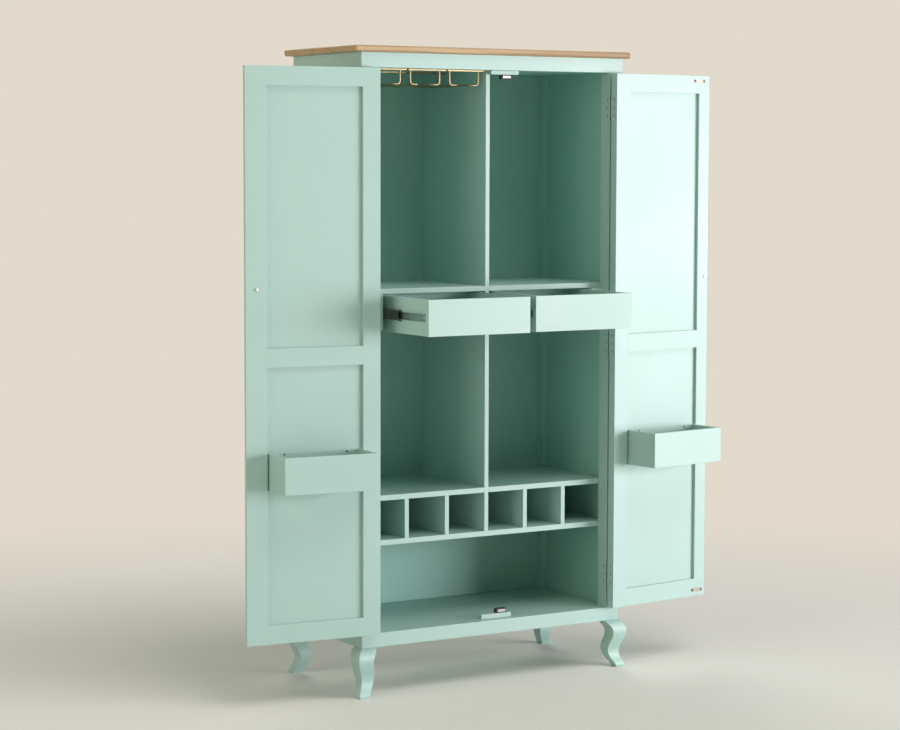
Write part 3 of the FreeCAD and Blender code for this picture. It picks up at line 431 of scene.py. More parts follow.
class Nodes:
    """A node tree, written as calls that take values or other nodes' outputs.

    Attributes:
        edge_samples: rays that look for an edge.
        edge_turn: how far the rounded and the flat normal agree, from a full edge to none.
        new_stop: where a new stop of a colour ramp stands until it is placed.
    """

    edge_samples: int = 4
    edge_turn: Pair = (0.75, 1.0)
    new_stop: float = 0.5

    def __init__(self, owner: bpy.types.Material | bpy.types.World) -> None:
        """Start an empty tree.

        Args:
            owner: the new material or world that the tree belongs to.
        """
        self.owner = owner
        owner.use_nodes = True
        self.tree = owner.node_tree
        self.tree.nodes.clear()

    def add(self, kind: str, inputs: Optional[dict[str | int, Any]] = None,
            **settings: Any) -> bpy.types.Node:
        """Add one node.

        Args:
            kind: the node's type, without its ShaderNode prefix.
            inputs: sockets and what goes into them: an output, a value, or None to leave one alone.
            settings: the node's own properties.

        Returns:
            The node.
        """
        node = self.tree.nodes.new("ShaderNode" + kind)
        for key, value in settings.items():
            setattr(node, key, value)
        for key, value in (inputs or {}).items():
            socket = node.inputs[key]
            if isinstance(value, Socket):
                self.tree.links.new(value, socket)
            elif value is not None:
                socket.default_value = (*value, 1.0) if socket.type == "RGBA" else value
        return node

    def math(self, operation: str, first: Any, second: Any = None) -> Socket:
        """One step of arithmetic."""
        return self.add("Math", {0: first, 1: second}, operation=operation).outputs["Value"]

    def measure(self, operation: str, first: Any, second: Any = None) -> Socket:
        """A number worked out from vectors."""
        return self.add("VectorMath", {0: first, 1: second}, operation=operation).outputs["Value"]

    def place(self, scale: Sequence[float] = (1.0, 1.0, 1.0)) -> Socket:
        """Object coordinates, stretched along X, Y and Z."""
        coordinates = self.add("TexCoord").outputs["Object"]
        return self.add("Mapping", {"Vector": coordinates, "Scale": scale}).outputs["Vector"]

    def plan(self) -> tuple[Socket, Socket]:
        """How far a point lies from the middle of the cabinet, to either side, and its depth."""
        place = self.add("SeparateXYZ", {"Vector": self.place()}).outputs
        return self.math("ABSOLUTE", place["X"]), place["Y"]

    def noise(self, scale: Sequence[float], detail: float = 2.0, swirl: float = 0.0) -> Socket:
        """Soft noise from 0 to 1, by its spots per metre on each axis, its finer layers and its swirl."""
        inputs = {"Vector": self.place(scale), "Scale": 1.0, "Detail": detail, "Distortion": swirl}
        return self.add("TexNoise", inputs).outputs["Fac"]

    def ramp(self, fac: Socket, stops: Sequence[tuple[float, Triple]]) -> Socket:
        """A colour ramp.

        Args:
            fac: the number that runs along it.
            stops: places from 0 to 1, each with its colour.

        Returns:
            The colour.
        """
        node = self.add("ValToRGB", {"Fac": fac})
        elements = node.color_ramp.elements
        while len(elements) < len(stops):
            elements.new(self.new_stop)
        for element, (place, colour) in zip(elements, stops):
            element.position = place
            element.color = (*colour, 1.0)
        return node.outputs["Color"]

    def spread(self, fac: Socket, low: float, high: float, source: Pair = (0.0, 1.0),
               **settings: Any) -> Socket:
        """Carry a number from a source range to another range, and keep it there."""
        ends = {"From Min": source[0], "From Max": source[1], "To Min": low, "To Max": high}
        return self.add("MapRange", {"Value": fac, **ends}, **settings).outputs["Result"]

    def mix(self, fac: Any, first: Any, second: Any, way: str = "MIX") -> Socket:
        """Two colours mixed, by how much of the second there is and the way they blend."""
        inputs = {"Fac": fac, "Color1": first, "Color2": second}
        return self.add("MixRGB", inputs, blend_type=way).outputs["Color"]

    def bump(self, height: Socket, depth: float, normal: Optional[Socket] = None) -> Socket:
        """A normal with relief, from a height of 0 to 1 and its depth in metres."""
        inputs = {"Height": height, "Strength": 1.0, "Distance": depth, "Normal": normal}
        return self.add("Bump", inputs).outputs["Normal"]

    def worn_edge(self, radius: float) -> tuple[Socket, Socket]:
        """Find the arrises of a piece.

        Args:
            radius: how far from an edge it counts, in metres.

        Returns:
            A normal rounded over the edges, and a number that is 0 on flat faces and grows at edges.
        """
        rounded = self.add("Bevel", {"Radius": radius}, samples=self.edge_samples).outputs["Normal"]
        flat = self.add("NewGeometry").outputs["True Normal"]
        return rounded, self.spread(self.measure("DOT_PRODUCT", rounded, flat), 1.0, 0.0, self.edge_turn)

    def seen(self) -> Socket:
        """A number that is 1 on what the camera sees, straight on, in gloss or through glass.

        Returns:
            The greatest of the light path's three marks.
        """
        path = self.add("LightPath").outputs
        direct = self.math("MAXIMUM", path["Is Camera Ray"], path["Is Glossy Ray"])
        return self.math("MAXIMUM", direct, path["Is Transmission Ray"])

    def close(self, surface: Socket) -> bpy.types.Material | bpy.types.World:
        """End the tree with its output, and give its owner back."""
        self.add("OutputWorld" if isinstance(self.owner, bpy.types.World) else "OutputMaterial",
                 {"Surface": surface})
        return self.owner


@dataclass(frozen=True)
class Finish:
    """A finish with a name; each kind has its own layers, and its material is made once."""

    name: str

    def material(self) -> bpy.types.Material:
        """The material, made on first use."""
        known = bpy.data.materials.get(self.name)
        return known or self.build(Nodes(bpy.data.materials.new(self.name)))

    def build(self, nodes: Nodes) -> bpy.types.Material:
        """The material, in an empty tree."""
        return nodes.close(nodes.add("BsdfPrincipled", self.layers(nodes)).outputs["BSDF"])

    def layers(self, nodes: Nodes) -> dict[str, Any]:
        """What goes into the shader's sockets."""
        raise NotImplementedError


@dataclass(frozen=True)
class WornFinish(Finish):
    """A finish whose arrises are paler: partly wear, partly a painted highlight.

    Attributes:
        edge_radius: how wide a paler arris is.
        edge_colour: the colour that an arris pales towards, partly wear and partly a painted highlight.
        edge_share: how far it pales.
    """

    edge_radius: float = 0.0
    edge_colour: Triple = (1.0, 1.0, 1.0)
    edge_share: float = 0.0

    def worn(self, nodes: Nodes, toned: Any, way: str = "MIX") -> tuple[Socket, Socket]:
        """A normal rounded over the arrises, and a colour that blends there towards the paler one: wear and
        a painted highlight.
        """
        rounded, edge = nodes.worn_edge(self.edge_radius)
        return rounded, nodes.mix(nodes.spread(edge, 0.0, self.edge_share), toned, self.edge_colour, way)


@dataclass(frozen=True)
class SatinPaint(WornFinish):
    """Sprayed satin paint on wood: a cloudy tone, a fine peel, faint strokes, and paler arrises that are
    partly wear and partly a painted highlight.

    Attributes:
        colour: the paint's own colour.
        grain: the way the strokes run.
        roughness: how dull it is, from cloud to cloud.
        gloss: how strongly it mirrors, one half being that of plain plastic.
        cloud_scale: clouds per metre.
        cloud_range: the noise that makes the darkest and the palest cloud.
        cloud_shares: their tones, as shares of the colour.
        stroke_scale: strokes per metre, along and across.
        stroke_depth: how deep the strokes are.
        peel_scale: dimples of the peel per metre.
        peel_depth: how deep they are.
    """

    colour: Triple = (0.345, 0.535, 0.485)
    grain: Grain = Grain.ALONG_Z
    roughness: Pair = (0.41, 0.51)
    gloss: float = 0.75
    # The arrises pale towards near white: wear and a painted highlight.
    edge_radius: float = 0.0012
    edge_colour: Triple = (0.93, 0.97, 0.95)
    edge_share: float = 0.22
    cloud_scale: float = 2.5
    cloud_range: Pair = (0.3, 0.7)
    cloud_shares: Pair = (0.965, 1.025)
    stroke_scale: Pair = (5.0, 260.0)
    stroke_depth: float = 0.00002
    peel_scale: float = 700.0
    peel_depth: float = 0.00002

    def layers(self, nodes: Nodes) -> dict[str, Any]:
        """The coat's tone, shine and relief.

        Args:
            nodes: the tree that they are made in.

        Returns:
            What goes into the shader's sockets.
        """
        cloud = nodes.spread(nodes.noise((self.cloud_scale,) * 3, detail=3.0), 0.0, 1.0, self.cloud_range)
        strokes = nodes.noise(self.grain.stretched(*self.stroke_scale), detail=3.0)
        peel = nodes.noise((self.peel_scale,) * 3, detail=1.0)
        dark, pale = (tuple(share * part for part in self.colour) for share in self.cloud_shares)
        # Paler arrises: wear and a painted highlight.
        rounded, worn = self.worn(nodes, nodes.mix(cloud, dark, pale))
        relief = nodes.bump(strokes, self.stroke_depth, nodes.bump(peel, self.peel_depth, rounded))
        return {"Base Color": worn, "Roughness": nodes.spread(cloud, *self.roughness),
                "Specular IOR Level": self.gloss, "Normal": relief}


@dataclass(frozen=True)
class HingePaint(SatinPaint):
    """Paint brushed over a hinge's leaves and knuckles, with a dark metal line along each knuckle that is
    painted shade.

    Attributes:
        pin: how far the pins stand from the middle of the cabinet, and their depth.
        crest: how far the line lies from a pin's axis, across the cabinet and in depth.
        rub_reach: the line is dark metal up to here from its middle, and paint from a little further.
        bare: the line's colour, a painted shade.
    """

    pin: Pair = (0.0, 0.0)
    crest: Pair = (-0.0022, -0.0036)
    rub_reach: Pair = (0.0011, 0.0020)
    bare: Triple = (0.045, 0.06, 0.042)

    def layers(self, nodes: Nodes) -> dict[str, Any]:
        """The coat's layers, with dark metal, a painted shade, where the distance from the nearer pin's
        line is small.

        Args:
            nodes: the tree that they are made in.

        Returns:
            What goes into the shader's sockets.
        """
        coat = super().layers(nodes)
        out, deep = (nodes.math("SUBTRACT", place, start + off)
                     for place, start, off in zip(nodes.plan(), self.pin, self.crest))
        flat = nodes.add("CombineXYZ", {"X": out, "Y": deep}).outputs["Vector"]
        # A dark line of painted shade along each knuckle's front crest.
        shade_line = nodes.spread(nodes.measure("LENGTH", flat), 1.0, 0.0, self.rub_reach)
        return coat | {"Base Color": nodes.mix(shade_line, coat["Base Color"], self.bare), "Metallic": shade_line}


@dataclass(frozen=True)
class LinedPaint(SatinPaint):
    """Paint that is darker and greener on the faces that look into the cabinet: painted shade, a shaded
    copy of the same paint.

    Attributes:
        depth: what the colour is multiplied by there, for the painted shade.
        room: half the width of the inside and the depth that it ends at, both within the boards around it.
    """

    depth: Triple = (0.81, 0.99, 0.95)
    room: Pair = (0.0, 0.0)

    def layers(self, nodes: Nodes) -> dict[str, Any]:
        """The coat's layers, with painted shade where the place is within the room's width and before its
        back.

        Args:
            nodes: the tree that they are made in.

        Returns:
            What goes into the shader's sockets.
        """
        coat = super().layers(nodes)
        within = [nodes.math("LESS_THAN", place, end) for place, end in zip(nodes.plan(), self.room)]
        inside = nodes.math("MULTIPLY", *within)
        # Painted shade: the inside faces take a darker, greener copy of the paint.
        return coat | {"Base Color": nodes.mix(inside, coat["Base Color"], self.depth, "MULTIPLY")}


@dataclass(frozen=True)
class Timber(Finish):
    """Bare wood: growth rings cut lengthways, darker pores, and a grain that runs one way.

    Attributes:
        pale: the colour of early wood.
        deep: the colour of late wood and pores.
        grain: the way it runs.
        roughness: how dull it is, from ring to ring.
        ring_scale: rings per metre, along and across.
        ring_swirl: how much they wander.
        ring_stops: the noise of a deep, pale, middling and pale ring.
        fibre_scale: fibres per metre, along and across.
        fibre_range: the noise from no fibre to the darkest.
        fibre_share: how dark that is.
        fibre_depth: how deep the fibres are.
        pore_scale: pores per metre, along and across.
        pore_range: the noise from no pore to the darkest.
        pore_share: how dark that is.
    """

    pale: Triple = (0.50, 0.365, 0.195)
    deep: Triple = (0.29, 0.185, 0.08)
    grain: Grain = Grain.ALONG_X
    roughness: Pair = (0.42, 0.60)
    ring_scale: Pair = (0.9, 26.0)
    ring_swirl: float = 0.6
    ring_stops: tuple[float, ...] = (0.30, 0.43, 0.52, 0.66)
    fibre_scale: Pair = (14.0, 900.0)
    fibre_range: Pair = (0.4, 0.75)
    fibre_share: float = 0.35
    fibre_depth: float = 0.00012
    pore_scale: Pair = (60.0, 1500.0)
    pore_range: Pair = (0.62, 0.75)
    pore_share: float = 0.5

    def layers(self, nodes: Nodes) -> dict[str, Any]:
        """The wood's rings, fibres and pores.

        Args:
            nodes: the tree that they are made in.

        Returns:
            What goes into the shader's sockets.
        """
        rings = nodes.noise(self.grain.stretched(*self.ring_scale), detail=4.0, swirl=self.ring_swirl)
        fibres = nodes.noise(self.grain.stretched(*self.fibre_scale), detail=2.0)
        pores = nodes.noise(self.grain.stretched(*self.pore_scale), detail=1.0)
        middle = tuple((a + b) / 2 for a, b in zip(self.pale, self.deep))
        bands = nodes.ramp(rings, list(zip(self.ring_stops, (self.deep, self.pale, middle, self.pale))))
        fine = nodes.mix(nodes.spread(fibres, 0.0, self.fibre_share, self.fibre_range), bands, self.deep)
        pored = nodes.mix(nodes.spread(pores, 0.0, self.pore_share, self.pore_range), fine, self.deep)
        return {"Base Color": pored, "Roughness": nodes.spread(rings, *self.roughness),
                "Normal": nodes.bump(fibres, self.fibre_depth)}


@dataclass(frozen=True)
class Metal(WornFinish):
    """Plated or polished metal with fine lines and a little dulling.

    Attributes:
        colour: the metal's own colour.
        dull: its colour where it is stained.
        grain: the way its lines run.
        roughness: how dull it is, from line to line.
        stain_scale: stains per metre.
        stain_range: the noise from no stain to the deepest.
        stain_share: how deep that is.
        line_scale: lines per metre, along and across.
        line_depth: how deep they are.
    """

    colour: Triple = (0.60, 0.61, 0.60)
    dull: Triple = (0.42, 0.42, 0.40)
    grain: Grain = Grain.ALONG_Z
    roughness: Pair = (0.22, 0.44)
    # Bright arrises: wear and a painted highlight.
    edge_radius: float = 0.0004
    edge_colour: Triple = (0.9, 0.9, 0.9)
    edge_share: float = 0.4
    stain_scale: float = 60.0
    stain_range: Pair = (0.45, 0.75)
    stain_share: float = 0.6
    line_scale: Pair = (40.0, 2500.0)
    line_depth: float = 0.00001

    def layers(self, nodes: Nodes) -> dict[str, Any]:
        """The metal's stains, lines, and bright arrises that are partly wear and partly a painted
        highlight.

        Args:
            nodes: the tree that they are made in.

        Returns:
            What goes into the shader's sockets.
        """
        stain = nodes.noise((self.stain_scale,) * 3, detail=4.0)
        stained = nodes.spread(stain, 0.0, self.stain_share, self.stain_range)
        lines = nodes.noise(self.grain.stretched(*self.line_scale), detail=2.0)
        rounded, worn = self.worn(nodes, nodes.mix(stained, self.colour, self.dull), "SCREEN")
        return {"Base Color": worn, "Metallic": 1.0, "Roughness": nodes.spread(lines, *self.roughness),
                "Normal": nodes.bump(lines, self.line_depth, rounded)}


@dataclass(frozen=True)
class Plastic(WornFinish):
    """Moulded plastic with a fine grain.

    Attributes:
        colour: its own colour.
        roughness: how dull it is, from smear to smear.
        grain_scale: grains per metre.
        grain_depth: how deep they are.
        smear_scale: smears per metre.
    """

    colour: Triple = (0.022, 0.022, 0.024)
    roughness: Pair = (0.35, 0.57)
    # Paler arrises: wear and a painted highlight.
    edge_radius: float = 0.0005
    edge_colour: Triple = (0.0584, 0.0584, 0.0628)
    edge_share: float = 0.5
    grain_scale: float = 1400.0
    grain_depth: float = 0.00003
    smear_scale: float = 40.0

    def layers(self, nodes: Nodes) -> dict[str, Any]:
        """The plastic's grain, smears, and paler arrises that are partly wear and partly a painted
        highlight.

        Args:
            nodes: the tree that they are made in.

        Returns:
            What goes into the shader's sockets.
        """
        grain = nodes.noise((self.grain_scale,) * 3, detail=2.0)
        smear = nodes.noise((self.smear_scale,) * 3, detail=3.0)
        rounded, worn = self.worn(nodes, self.colour)
        return {"Base Color": worn, "Roughness": nodes.spread(smear, *self.roughness),
                "Normal": nodes.bump(grain, self.grain_depth, rounded)}


DULL_STEEL = (0.42, 0.64)
MINT = {grain: SatinPaint(f"mint_paint_{grain.name.lower()}", grain=grain) for grain in Grain}
# The same paint with narrower, fainter paler arrises, wear and a painted highlight, so that painted-over
# joints show no line.
FLUSH = {grain: SatinPaint(f"mint_flush_{grain.name.lower()}", grain=grain, edge_radius=0.0004,
                           edge_share=0.06)
         for grain in Grain}
# Paint for the boards round the inside, darker and greener inside: painted shade.
INSIDE_SHADE = LinedPaint("mint_inside", roughness=(0.45, 0.55), gloss=0.55,
                    room=(Box.of("side_panel_right").middle[0], Box.of("back_panel").middle[1]))
HINGE = HingePaint("mint_hinge", pin=tuple(JOINTS["right_door_swing"]["pos_m"][:2]))
# Hinge screws are painted over in a mint far darker than the boards': painted shade that makes each head a
# dark dot.
PAINTED_SCREW = SatinPaint("mint_screw", colour=(0.12, 0.19, 0.16), edge_share=0.0)
TOP_WOOD = Timber("oiled_top_wood")
BLOCK_WOOD = Timber("raw_block_wood", pale=(0.72, 0.52, 0.32), deep=(0.5, 0.32, 0.17), grain=Grain.ALONG_Y)
BRASS = Metal("brass_wire", colour=(0.44, 0.36, 0.21), dull=(0.27, 0.21, 0.115), roughness=(0.37, 0.59))
ZINC = Metal("zinc_slide", colour=(0.44, 0.51, 0.48), dull=(0.28, 0.34, 0.32), grain=Grain.ALONG_Y)
OILED = Metal("oiled_slide", colour=(0.17, 0.165, 0.15), dull=(0.09, 0.085, 0.075), grain=Grain.ALONG_Y)
BOLT = Metal("bolt_steel", colour=(0.13, 0.135, 0.13), dull=(0.08, 0.08, 0.075), roughness=DULL_STEEL)
BALL = Metal("ball_steel", colour=(0.75, 0.76, 0.77), dull=(0.62, 0.63, 0.64), roughness=(0.04, 0.26))
POLE = Metal("pole_plate", colour=(0.46, 0.47, 0.47), dull=(0.32, 0.33, 0.33), roughness=(0.32, 0.54))
STRIKE = Metal("strike_plate", colour=(0.28, 0.265, 0.225), dull=(0.19, 0.175, 0.145), roughness=DULL_STEEL)
SCREW = Metal("screw_steel", colour=(0.045, 0.043, 0.04), dull=(0.025, 0.025, 0.022), roughness=DULL_STEEL)
BLACK = Plastic("black_plastic")


# Fasteners

@dataclass(frozen=True)
class ScrewHead:
    """A screw's head with its driver recess, drawn at the origin and facing +Z.

    Attributes:
        radius: the head's radius.
        dome: how high its middle stands.
        sink: how far its edge goes into what it holds.
        arm: the recess's length from the middle, as a share of the radius.
        arm_width: half the width of an arm, as a share of the radius.
        shoulder: where the dome has a ring of points, as a share of the radius.
        depth: the recess's depth.
        recess: the kind of recess.
        sides: points around.
        turn: how much further each next screw is driven.
    """

    radius: float = 0.0032
    dome: float = 0.0006
    sink: float = 0.0008
    arm: float = 0.62
    arm_width: float = 0.14
    shoulder: float = 0.8
    depth: float = 0.0009
    recess: Recess = Recess.CROSS
    sides: int = 32
    turn: float = math.radians(37)

    def surface(self) -> Surface:
        """The head as rings around its axis.

        With a the angle from the nearest arm, the recess's edge lies min(arm / cos a, width / sin a) from
        the axis. The rings run up the rim, over a dome whose height falls with the square of the distance,
        to that edge, down the recess's wall and to the middle of its floor.

        Returns:
            The surface, closed in the middle and open below, where the head is sunk.
        """
        angle = once_round(self.sides)
        step = CIRCLE / self.recess.value
        off = np.abs((angle + step / 2.0) % step - step / 2.0)
        wall = self.arm_width / np.maximum(np.sin(off), TINY)
        edge = self.radius * np.minimum(self.arm / np.maximum(np.cos(off), TINY), wall)
        full = np.full(self.sides, self.radius)
        reach = np.array([full, full, self.shoulder * full, edge, edge, 0.0 * full])
        lowered = np.array([self.sink, 0.0, 0.0, 0.0, self.depth, self.depth])[:, None]
        return lathe((0, 0, 0), reach, self.dome * (1.0 - (reach / self.radius) ** 2) - lowered, angle)

    def driven(self, places: np.ndarray, outward: Sequence[float]) -> Surface:
        """Screws of this kind at several places, shape (k, 3), that face one way."""
        return self.surface().repeated(facing(places, outward, self.turn))


HINGE_SCREW = ScrewHead(radius=0.0030, dome=0.0004)
SLIDE_SCREW = ScrewHead(dome=0.0012)
TRAY_SCREW = ScrewHead()
STRIKE_SCREW = ScrewHead(radius=0.0040, dome=0.0008)
STRAP_SCREW = ScrewHead(dome=0.0008, recess=Recess.SLOT)
BACK_SCREW = ScrewHead(radius=0.0036, dome=0.0005)
RAIL_SCREW = ScrewHead(dome=0.0004)
CATCH_SCREW = ScrewHead(radius=0.0026, dome=0.0009)
BOLT_END = ScrewHead(radius=0.0044, dome=0.0005, sink=0.0004, depth=0.0012)


# Sub-assemblies

# The rounding of a board, and the thickness of the slides' steel.
BOARD_ARRIS = 0.0008
SLIDE_GAUGE = 0.0012
# A hinge leaf's width, and where its screws sit: at shares of its height, and in from its front edge.
LEAF_WIDTH = 0.018
LEAF_SCREW_SHARES = (0.16, 0.50, 0.84)
LEAF_SCREW_INSETS = (0.0108, 0.0126, 0.0108)


@dataclass
class Carcass:
    """The standing part: frames, posts, panels, boards and the bottle rack.

    Attributes:
        back_screw_inset: how far the back panel's screws sit from its edges.
        back_screws_high: screws along each of its sides.
        back_screws_wide: screws along its top and its bottom, between the corners.
        upright: boards whose grain is upright.
        level: boards whose grain runs across the cabinet.
        lining: boards that line its inside.
    """

    back_screw_inset: float = 0.006
    back_screws_high: int = 7
    back_screws_wide: int = 3
    upright: tuple[str, ...] = ("front_post_left", "front_post_right", "centre_partition", "rack_dividers")
    level: tuple[str, ...] = (
        "header_rail", "plinth_rail", "top_frame_rails", "plinth_frame_rails", "bottom_board",
        "upper_shelves", "rack_top_shelves", "rack_bottom_shelf", "catch_blocks",
    )
    lining: tuple[str, ...] = (
        "rear_posts", "side_panel_left", "side_panel_right", "back_panel", "ceiling_board",
    )

    def build(self) -> None:
        """Dress the boards, and drive the screws that hold the back panel."""
        groups = (
            (self.upright, MINT[Grain.ALONG_Z]), (self.level, MINT[Grain.ALONG_X]), (self.lining, INSIDE_SHADE),
            (("slide_packers",), MINT[Grain.ALONG_Y]), (("corner_blocks",), BLOCK_WOOD),
        )
        for nodes, finish in groups:
            for node in nodes:
                dress(node, finish, BOARD_ARRIS)
        dress("top_board", TOP_WOOD)
        make_piece("back_panel_screws", self.back_screws(), SCREW, "carcass")

    def back_screws(self) -> Surface:
        """Screws along the edges of the back panel, evenly spaced.

        Returns:
            The screws' heads, facing backwards.
        """
        panel = Box.of("back_panel")
        start, end = panel.low + self.back_screw_inset, panel.high - self.back_screw_inset
        x = np.linspace(start[0], end[0], self.back_screws_wide + 2)[1:-1]
        z = np.linspace(start[2], end[2], self.back_screws_high)
        sides = [spots(edge, panel.high[1], z) for edge in (start[0], end[0])]
        ends = [spots(x, panel.high[1], edge) for edge in (start[2], end[2])]
        return BACK_SCREW.driven(np.concatenate(sides + ends), (0, 1, 0))


@dataclass
class Legs:
    """The four cabriole legs, drawn over the solid ones with rounded arrises and whole inner sides.

    Attributes:
        corners: where the legs stand, with the signs of X and Y that point out of the cabinet.
        arris: the radius of the rounding.
        support: how far past the rounding a face is flat again.
        arc_steps: steps of points in a rounding.
        rows: rows of points from the floor to the top.
        diagonal_slack: how far off its 45 degree plane a point still counts as on a leg's corner.
        corner_split: how far inside the leg's furthest reach the inner corner's points begin.
        place_digits: decimals that tell points apart.
        height_digits: decimals that tell heights apart.
    """

    corners: tuple[tuple[str, Pair], ...] = (
        ("front_left", (-1.0, -1.0)), ("front_right", (1.0, -1.0)),
        ("rear_left", (-1.0, 1.0)), ("rear_right", (1.0, 1.0)),
    )
    arris: float = 0.0012
    support: float = 0.0006
    arc_steps: int = 4
    rows: int = 90
    diagonal_slack: float = 2e-5
    corner_split: float = 0.025
    place_digits: int = 6
    height_digits: int = 5

    def build(self) -> None:
        """Make the legs in place of the solid ones."""
        for word, signs in self.corners:
            node = f"leg_{word}"
            leg = self.leg(node, np.array(signs))
            make_piece(f"{word}_leg", leg, MINT[Grain.ALONG_Z], "carcass", [node])

    def leg(self, node: str, signs: np.ndarray) -> Surface:
        """A leg of square section that sways along its 45 degree plane.

        The solid's outer and inner corner curves are smoothed over the height. At each height the section
        is the square between them, with middle m and half its side h. A point of its outline, as a complex
        number, is (1 + i) m, plus h - arris along its corner's diagonal, plus its own offset. Rows at both
        ends shrink to the section's middle.

        Args:
            node: the solid leg.
            signs: the directions along X and Y that point out of the cabinet.

        Returns:
            The closed surface.
        """
        points = np.unique(np.round(corners_of(node), self.place_digits), axis=0)
        outward = points[:, :2] * signs
        far = outward.max(axis=0)
        reach = outward - far
        on_corner = np.abs(reach[:, 0] - reach[:, 1]) < self.diagonal_slack
        outer = on_corner & (reach[:, 0] > -self.corner_split)
        inner = on_corner & ~outer
        height = np.linspace(points[:, 2].min(), points[:, 2].max(), self.rows)
        near, away = (self.curve(points[mask, 2], reach[mask, 0], height) for mask in (inner, outer))
        middle, half = (near + away)[:, None] / 2.0, (away - near)[:, None] / 2.0
        diagonals, offsets = self.outline()
        section = (1 + 1j) * middle + diagonals * (half - self.arris) + offsets
        parts = (section.real, section.imag)
        x, y = (sign * (start + part) for sign, start, part in zip(signs, far, parts))
        grid = spots(x, y, height[:, None])
        ends = np.broadcast_to(grid[[0, -1]].mean(axis=1, keepdims=True), grid[:2].shape)
        return Surface.from_grid(np.concatenate([ends[:1], grid, ends[1:]]))

    def curve(self, heights: np.ndarray, reaches: np.ndarray, at: np.ndarray) -> np.ndarray:
        """The reach of a corner at several heights, smooth through its known points."""
        heights, first = np.unique(np.round(heights, self.height_digits), return_index=True)
        return smooth_through(heights, reaches[first], at)

    def outline(self) -> tuple[np.ndarray, np.ndarray]:
        """The corners of a rounded square, once round, as complex numbers.

        Each corner is a quarter arc of the arris about the square's own corner, moved in by the arris, with
        a point on the flat before it and one after it. The four are quarter turns of the first.

        Returns:
            For every point the diagonal of its corner and its offset from it.
        """
        bow = self.arris * np.exp(1j * np.linspace(0.0, np.pi / 2.0, self.arc_steps + 1))
        flat = complex(self.arris, -self.support)
        corner = np.array([flat, *bow, 1j * flat.conjugate()])
        turns = np.array([1, 1j, -1, -1j])
        return np.repeat((1 + 1j) * turns, len(corner)), (turns[:, None] * corner).ravel()


@dataclass
class LegBolts:
    """The threaded bolts that stand in the tops of the legs, with six-sided nuts over the corner blocks.

    Attributes:
        radius: the thread's outer radius.
        pitch: its rise in one turn.
        depth: how deep it is cut.
        reach: how far a bolt goes into its leg, short of the curve of the leg's inner side.
        nut: the nut's radius at its corners, and its height.
        chamfer: how much of the nut's height its upper edge loses.
        steps: rows of points in one turn of the thread.
        sides: points around.
    """

    radius: float = 0.004
    pitch: float = 0.002
    depth: float = 0.0005
    reach: float = 0.012
    nut: Pair = (0.007, 0.006)
    chamfer: float = 0.0008
    steps: int = 6
    sides: int = 24

    def build(self) -> None:
        """Make the four bolts in place of the plain ones."""
        foot = Box.of("leg_front_right").high[2] - self.reach
        parts = []
        for bolt in solid_boxes("leg_bolts"):
            (x, y, _), top = bolt.middle, bolt.high[2]
            parts += [self.thread((x, y, foot), top), self.hexagon((x, y, top - self.nut[1]))]
        bolts = Surface.joined(parts)
        make_piece("leg_hanger_bolts", bolts, BOLT, "carcass", ["leg_bolts"])

    def thread(self, foot: Triple, top: float) -> Surface:
        """A threaded rod that stands on a point.

        With h the height over the foot and a the angle round the axis, w is the fraction of a turn left
        over in h / pitch - a / 2 pi, and the radius is less than the outer one by the depth times
        |2 w - 1|. The rows at both ends shrink to the axis.

        Args:
            foot: the middle of its lower end.
            top: the height of its upper end.

        Returns:
            The closed surface.
        """
        length = top - foot[2]
        height = np.linspace(0.0, length, int(round(length / self.pitch)) * self.steps + 1)[:, None]
        angle = once_round(self.sides)
        turn = (height / self.pitch - angle / CIRCLE) % 1.0
        reach = self.radius - self.depth * np.abs(2.0 * turn - 1.0)
        reach = np.pad(reach, ((1, 1), (0, 0)))
        return lathe(foot, reach, np.pad(height, ((1, 1), (0, 0)), "edge"), angle)

    def hexagon(self, seat: Triple) -> Surface:
        """A nut that stands on a point.

        With a the angle from the middle of the nearest flat, a side lies flat / cos a from the axis. The
        rows run from the bore out along the underside, up the sides, over the chamfer and back to the bore.

        Args:
            seat: the middle of its underside.

        Returns:
            The closed surface.
        """
        angle = once_round(self.sides)
        corner, tall = self.nut
        half_side = math.pi / 6.0
        flat = corner * math.cos(half_side)
        side = flat / np.cos((angle + half_side) % (2.0 * half_side) - half_side)
        bore = np.full(self.sides, self.radius - self.depth)
        reach = np.stack([bore, side, side, np.minimum(side, flat), bore])
        height = np.array([0.0, 0.0, tall - self.chamfer, tall, tall])[:, None]
        return lathe(seat, reach, height, angle)


def leaf_screw_places(leaf: Box, face: float, edge: float) -> np.ndarray:
    """Places of a hinge leaf's screws: on its face, in from its front edge, and spread over its height."""
    return spots(face, edge + np.array(LEAF_SCREW_INSETS), leaf.shares(2, LEAF_SCREW_SHARES))


@dataclass
class Hinges:
    """The leaves on the posts, and the pins. The leaves on the doors belong to the doors.

    Attributes:
        leaves: the leaves' node.
    """

    leaves: str = "post_hinge_leaves"

    def build(self) -> None:
        """Dress the leaves and pins, and drive the screws into the posts."""
        dress(self.leaves, HINGE)
        dress("hinge_pins", HINGE)
        corners = corners_of(self.leaves)
        far_edge = corners[corners[:, 1] > corners[:, 1].max() - LEAF_WIDTH / 2.0]
        face = np.abs(far_edge[:, 0]).min()
        for side in Side:
            heads = []
            for leaf in solid_boxes(self.leaves):
                if side.value * leaf.low[0] > 0:
                    places = leaf_screw_places(leaf, side.value * face, leaf.high[1] - LEAF_WIDTH)
                    heads.append(HINGE_SCREW.driven(places, (-side.value, 0, 0)))
            name = f"{side.word}_post_hinge_screws"
            make_piece(name, Surface.joined(heads), PAINTED_SCREW, "carcass")


